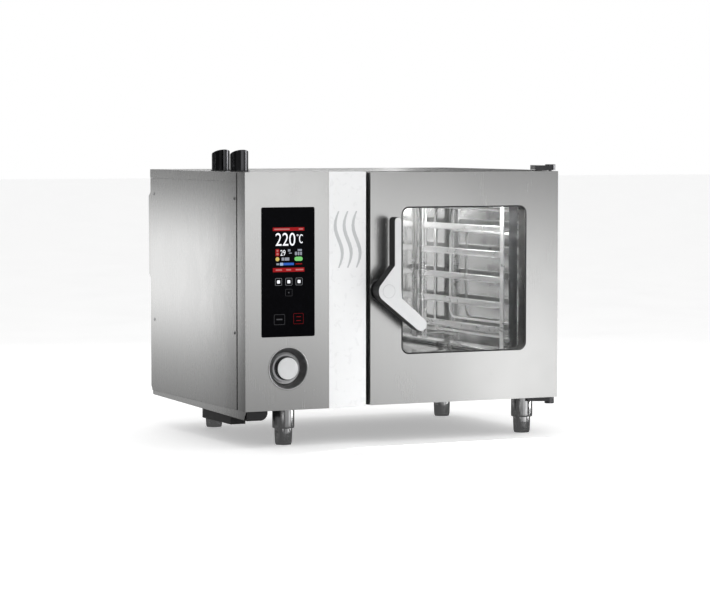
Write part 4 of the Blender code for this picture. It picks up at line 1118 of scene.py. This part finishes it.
def leg_profile(top):
    """A foot's lower part: a thread, a plain length and a tapered end."""
    crest = FOOT_BORE - 0.0010
    waist = FOOT_BORE - THREAD_DEPTH
    leg = [(0, top), (waist, top)]
    z = top - 0.002
    while z > THREAD_LOW:
        leg += [(crest, z - 0.0010), (waist, z - 0.0020)]
        z -= THREAD_PITCH
    return leg + [(crest, 0.0440), (FOOT_BORE - 0.0012, 0.0300), (waist, 0.0070),
                  (FOOT_BORE - 0.0042, 0.0), (0, 0.0)]


def add_feet():
    """Each foot: a bright sleeve, and a threaded leg that rides on the foot's own body."""
    steel = tube_steel("foot_steel", (0.52, 0.52, 0.525), 0.15)
    for end in ("front", "rear"):
        for side in ("left", "right"):
            name = f"{end}_{side}_foot"
            low, high, middle = span(name + "_sleeve")
            sleeve = sleeve_profile((high.x - low.x) / 2, low.z, high.z)
            piece(name + "_shell", lathe(sleeve, (middle.x, middle.y, 0), radius=0.0008,
                                         steps=FINE), steel, "cabinet",
                  (name + "_sleeve",))
            _, high, middle = span(name + "_tip")
            leg = leg_profile(high.z)
            piece(name + "_leg", lathe(leg, (middle.x, middle.y, 0), radius=0.0004, steps=FINE),
                  steel, name, (name + "_tip",))


def add_vents():
    """Round pipes with a slanting mouth, each with a sealing collar on the roof."""
    # The near-black base colour of the vent steel is painted reflection: it stands in for a dark
    # room mirrored in the polished pipes.
    steel = tube_steel("vent_steel_painted_reflection", (0.075, 0.075, 0.08), 0.10)
    black = rubber("collar_rubber")
    roof = span("roof_panel")[1].z
    for name in ("front_vent_pipe", "rear_vent_pipe"):
        low, high, middle = span(name)
        radius = (high.x - low.x) / 2
        inner = radius - VENT_WALL
        shape = lathe([(radius, low.z), (radius, high.z), (inner, high.z), (inner, low.z)],
                      (middle.x, middle.y, 0), radius=0.0, steps=FINE, closed=True)
        for vert in shape.verts:
            if vert.co.z > middle.z:
                vert.co.z = high.z - (vert.co.y - middle.y + radius) * VENT_SLOPE
        made = piece(name + "_tube", shape, steel, "cabinet", (name,))
        rounded(made, 0.0004, 2)
        collar = [(radius + SKIN, SKIN), (radius + 0.0040, SKIN), (radius + 0.0036, 0.0012),
                  (radius + SKIN, 0.0022)]
        piece(name + "_collar", lathe(collar, (middle.x, middle.y, roof), radius=0.0004,
                                      closed=True), black, "cabinet")


def dress_services():
    """The pieces behind the fascia and at the rear."""
    dress("encoder_shaft", tube_steel("encoder_steel"), 0.0003)
    dress("display_module", moulded("display_black", (0.015, 0.015, 0.016)))
    dress("control_board", solder_mask("board_green"), 0.0003)
    light = moulded("housing_grey", (0.55, 0.56, 0.56), 0.45)
    dress("contactor", light, 0.001)
    dress("terminal_block", light, 0.0008)
    dress("power_supply", brushed("supply_steel", along=1, colour=(0.5, 0.5, 0.5), roughness=0.4))
    dress("fan_motor", cast_metal("motor_casting"), 0.0015, 3)
    brass = cast_metal("brass_casting", (0.62, 0.42, 0.16), 0.32, 1.0)
    dress("solenoid_valve", brass, 0.001)
    dress("water_inlet", brass)
    dress("steam_pipe", tube_steel("steam_pipe_steel", (0.55, 0.54, 0.52), 0.2), 0.0)
    dress("cable_gland", moulded("gland_black", (0.018, 0.018, 0.019)), 0.0008)


def add_rear_detail():
    """A blank plate, and the earthing stud by the gland."""
    face = span("rear_panel")[1].y
    plate = slab(rounded_rectangle((0.05, 0.50), (0.17, 0.57), 0.004), face + 0.0001,
                 face + 0.0009, 0.0002)
    piece("blank_plate", plate, brushed("plate_steel", along=0, roughness=0.35), "cabinet")
    _, high, middle = span("cable_gland")
    stud = lathe([(0, 0.012), (0.0026, 0.012), (0.0026, 0.0060), (0.0050, 0.0060),
                  (0.0050, 0.0030), (0.0065, 0.0028), (0.0065, 0.0002), (0, 0.0002)],
                 (high.x + 0.030, face, middle.z), REAR, 0.0004, 24)
    piece("earthing_stud", stud, tube_steel("stud_steel", (0.52, 0.52, 0.53), 0.2), "cabinet")


set_camera()
set_world()
set_stage()
set_lights()
dress_casing()
dress_door()
dress_handle()
dress_chamber()
dress_services()
add_screws()
add_display()
add_knob()
add_seam()
add_steam_mark()
add_window_trim()
add_door_hardware()
add_rack_detail()
add_chamber_detail()
add_feet()
add_vents()
add_rear_detail()
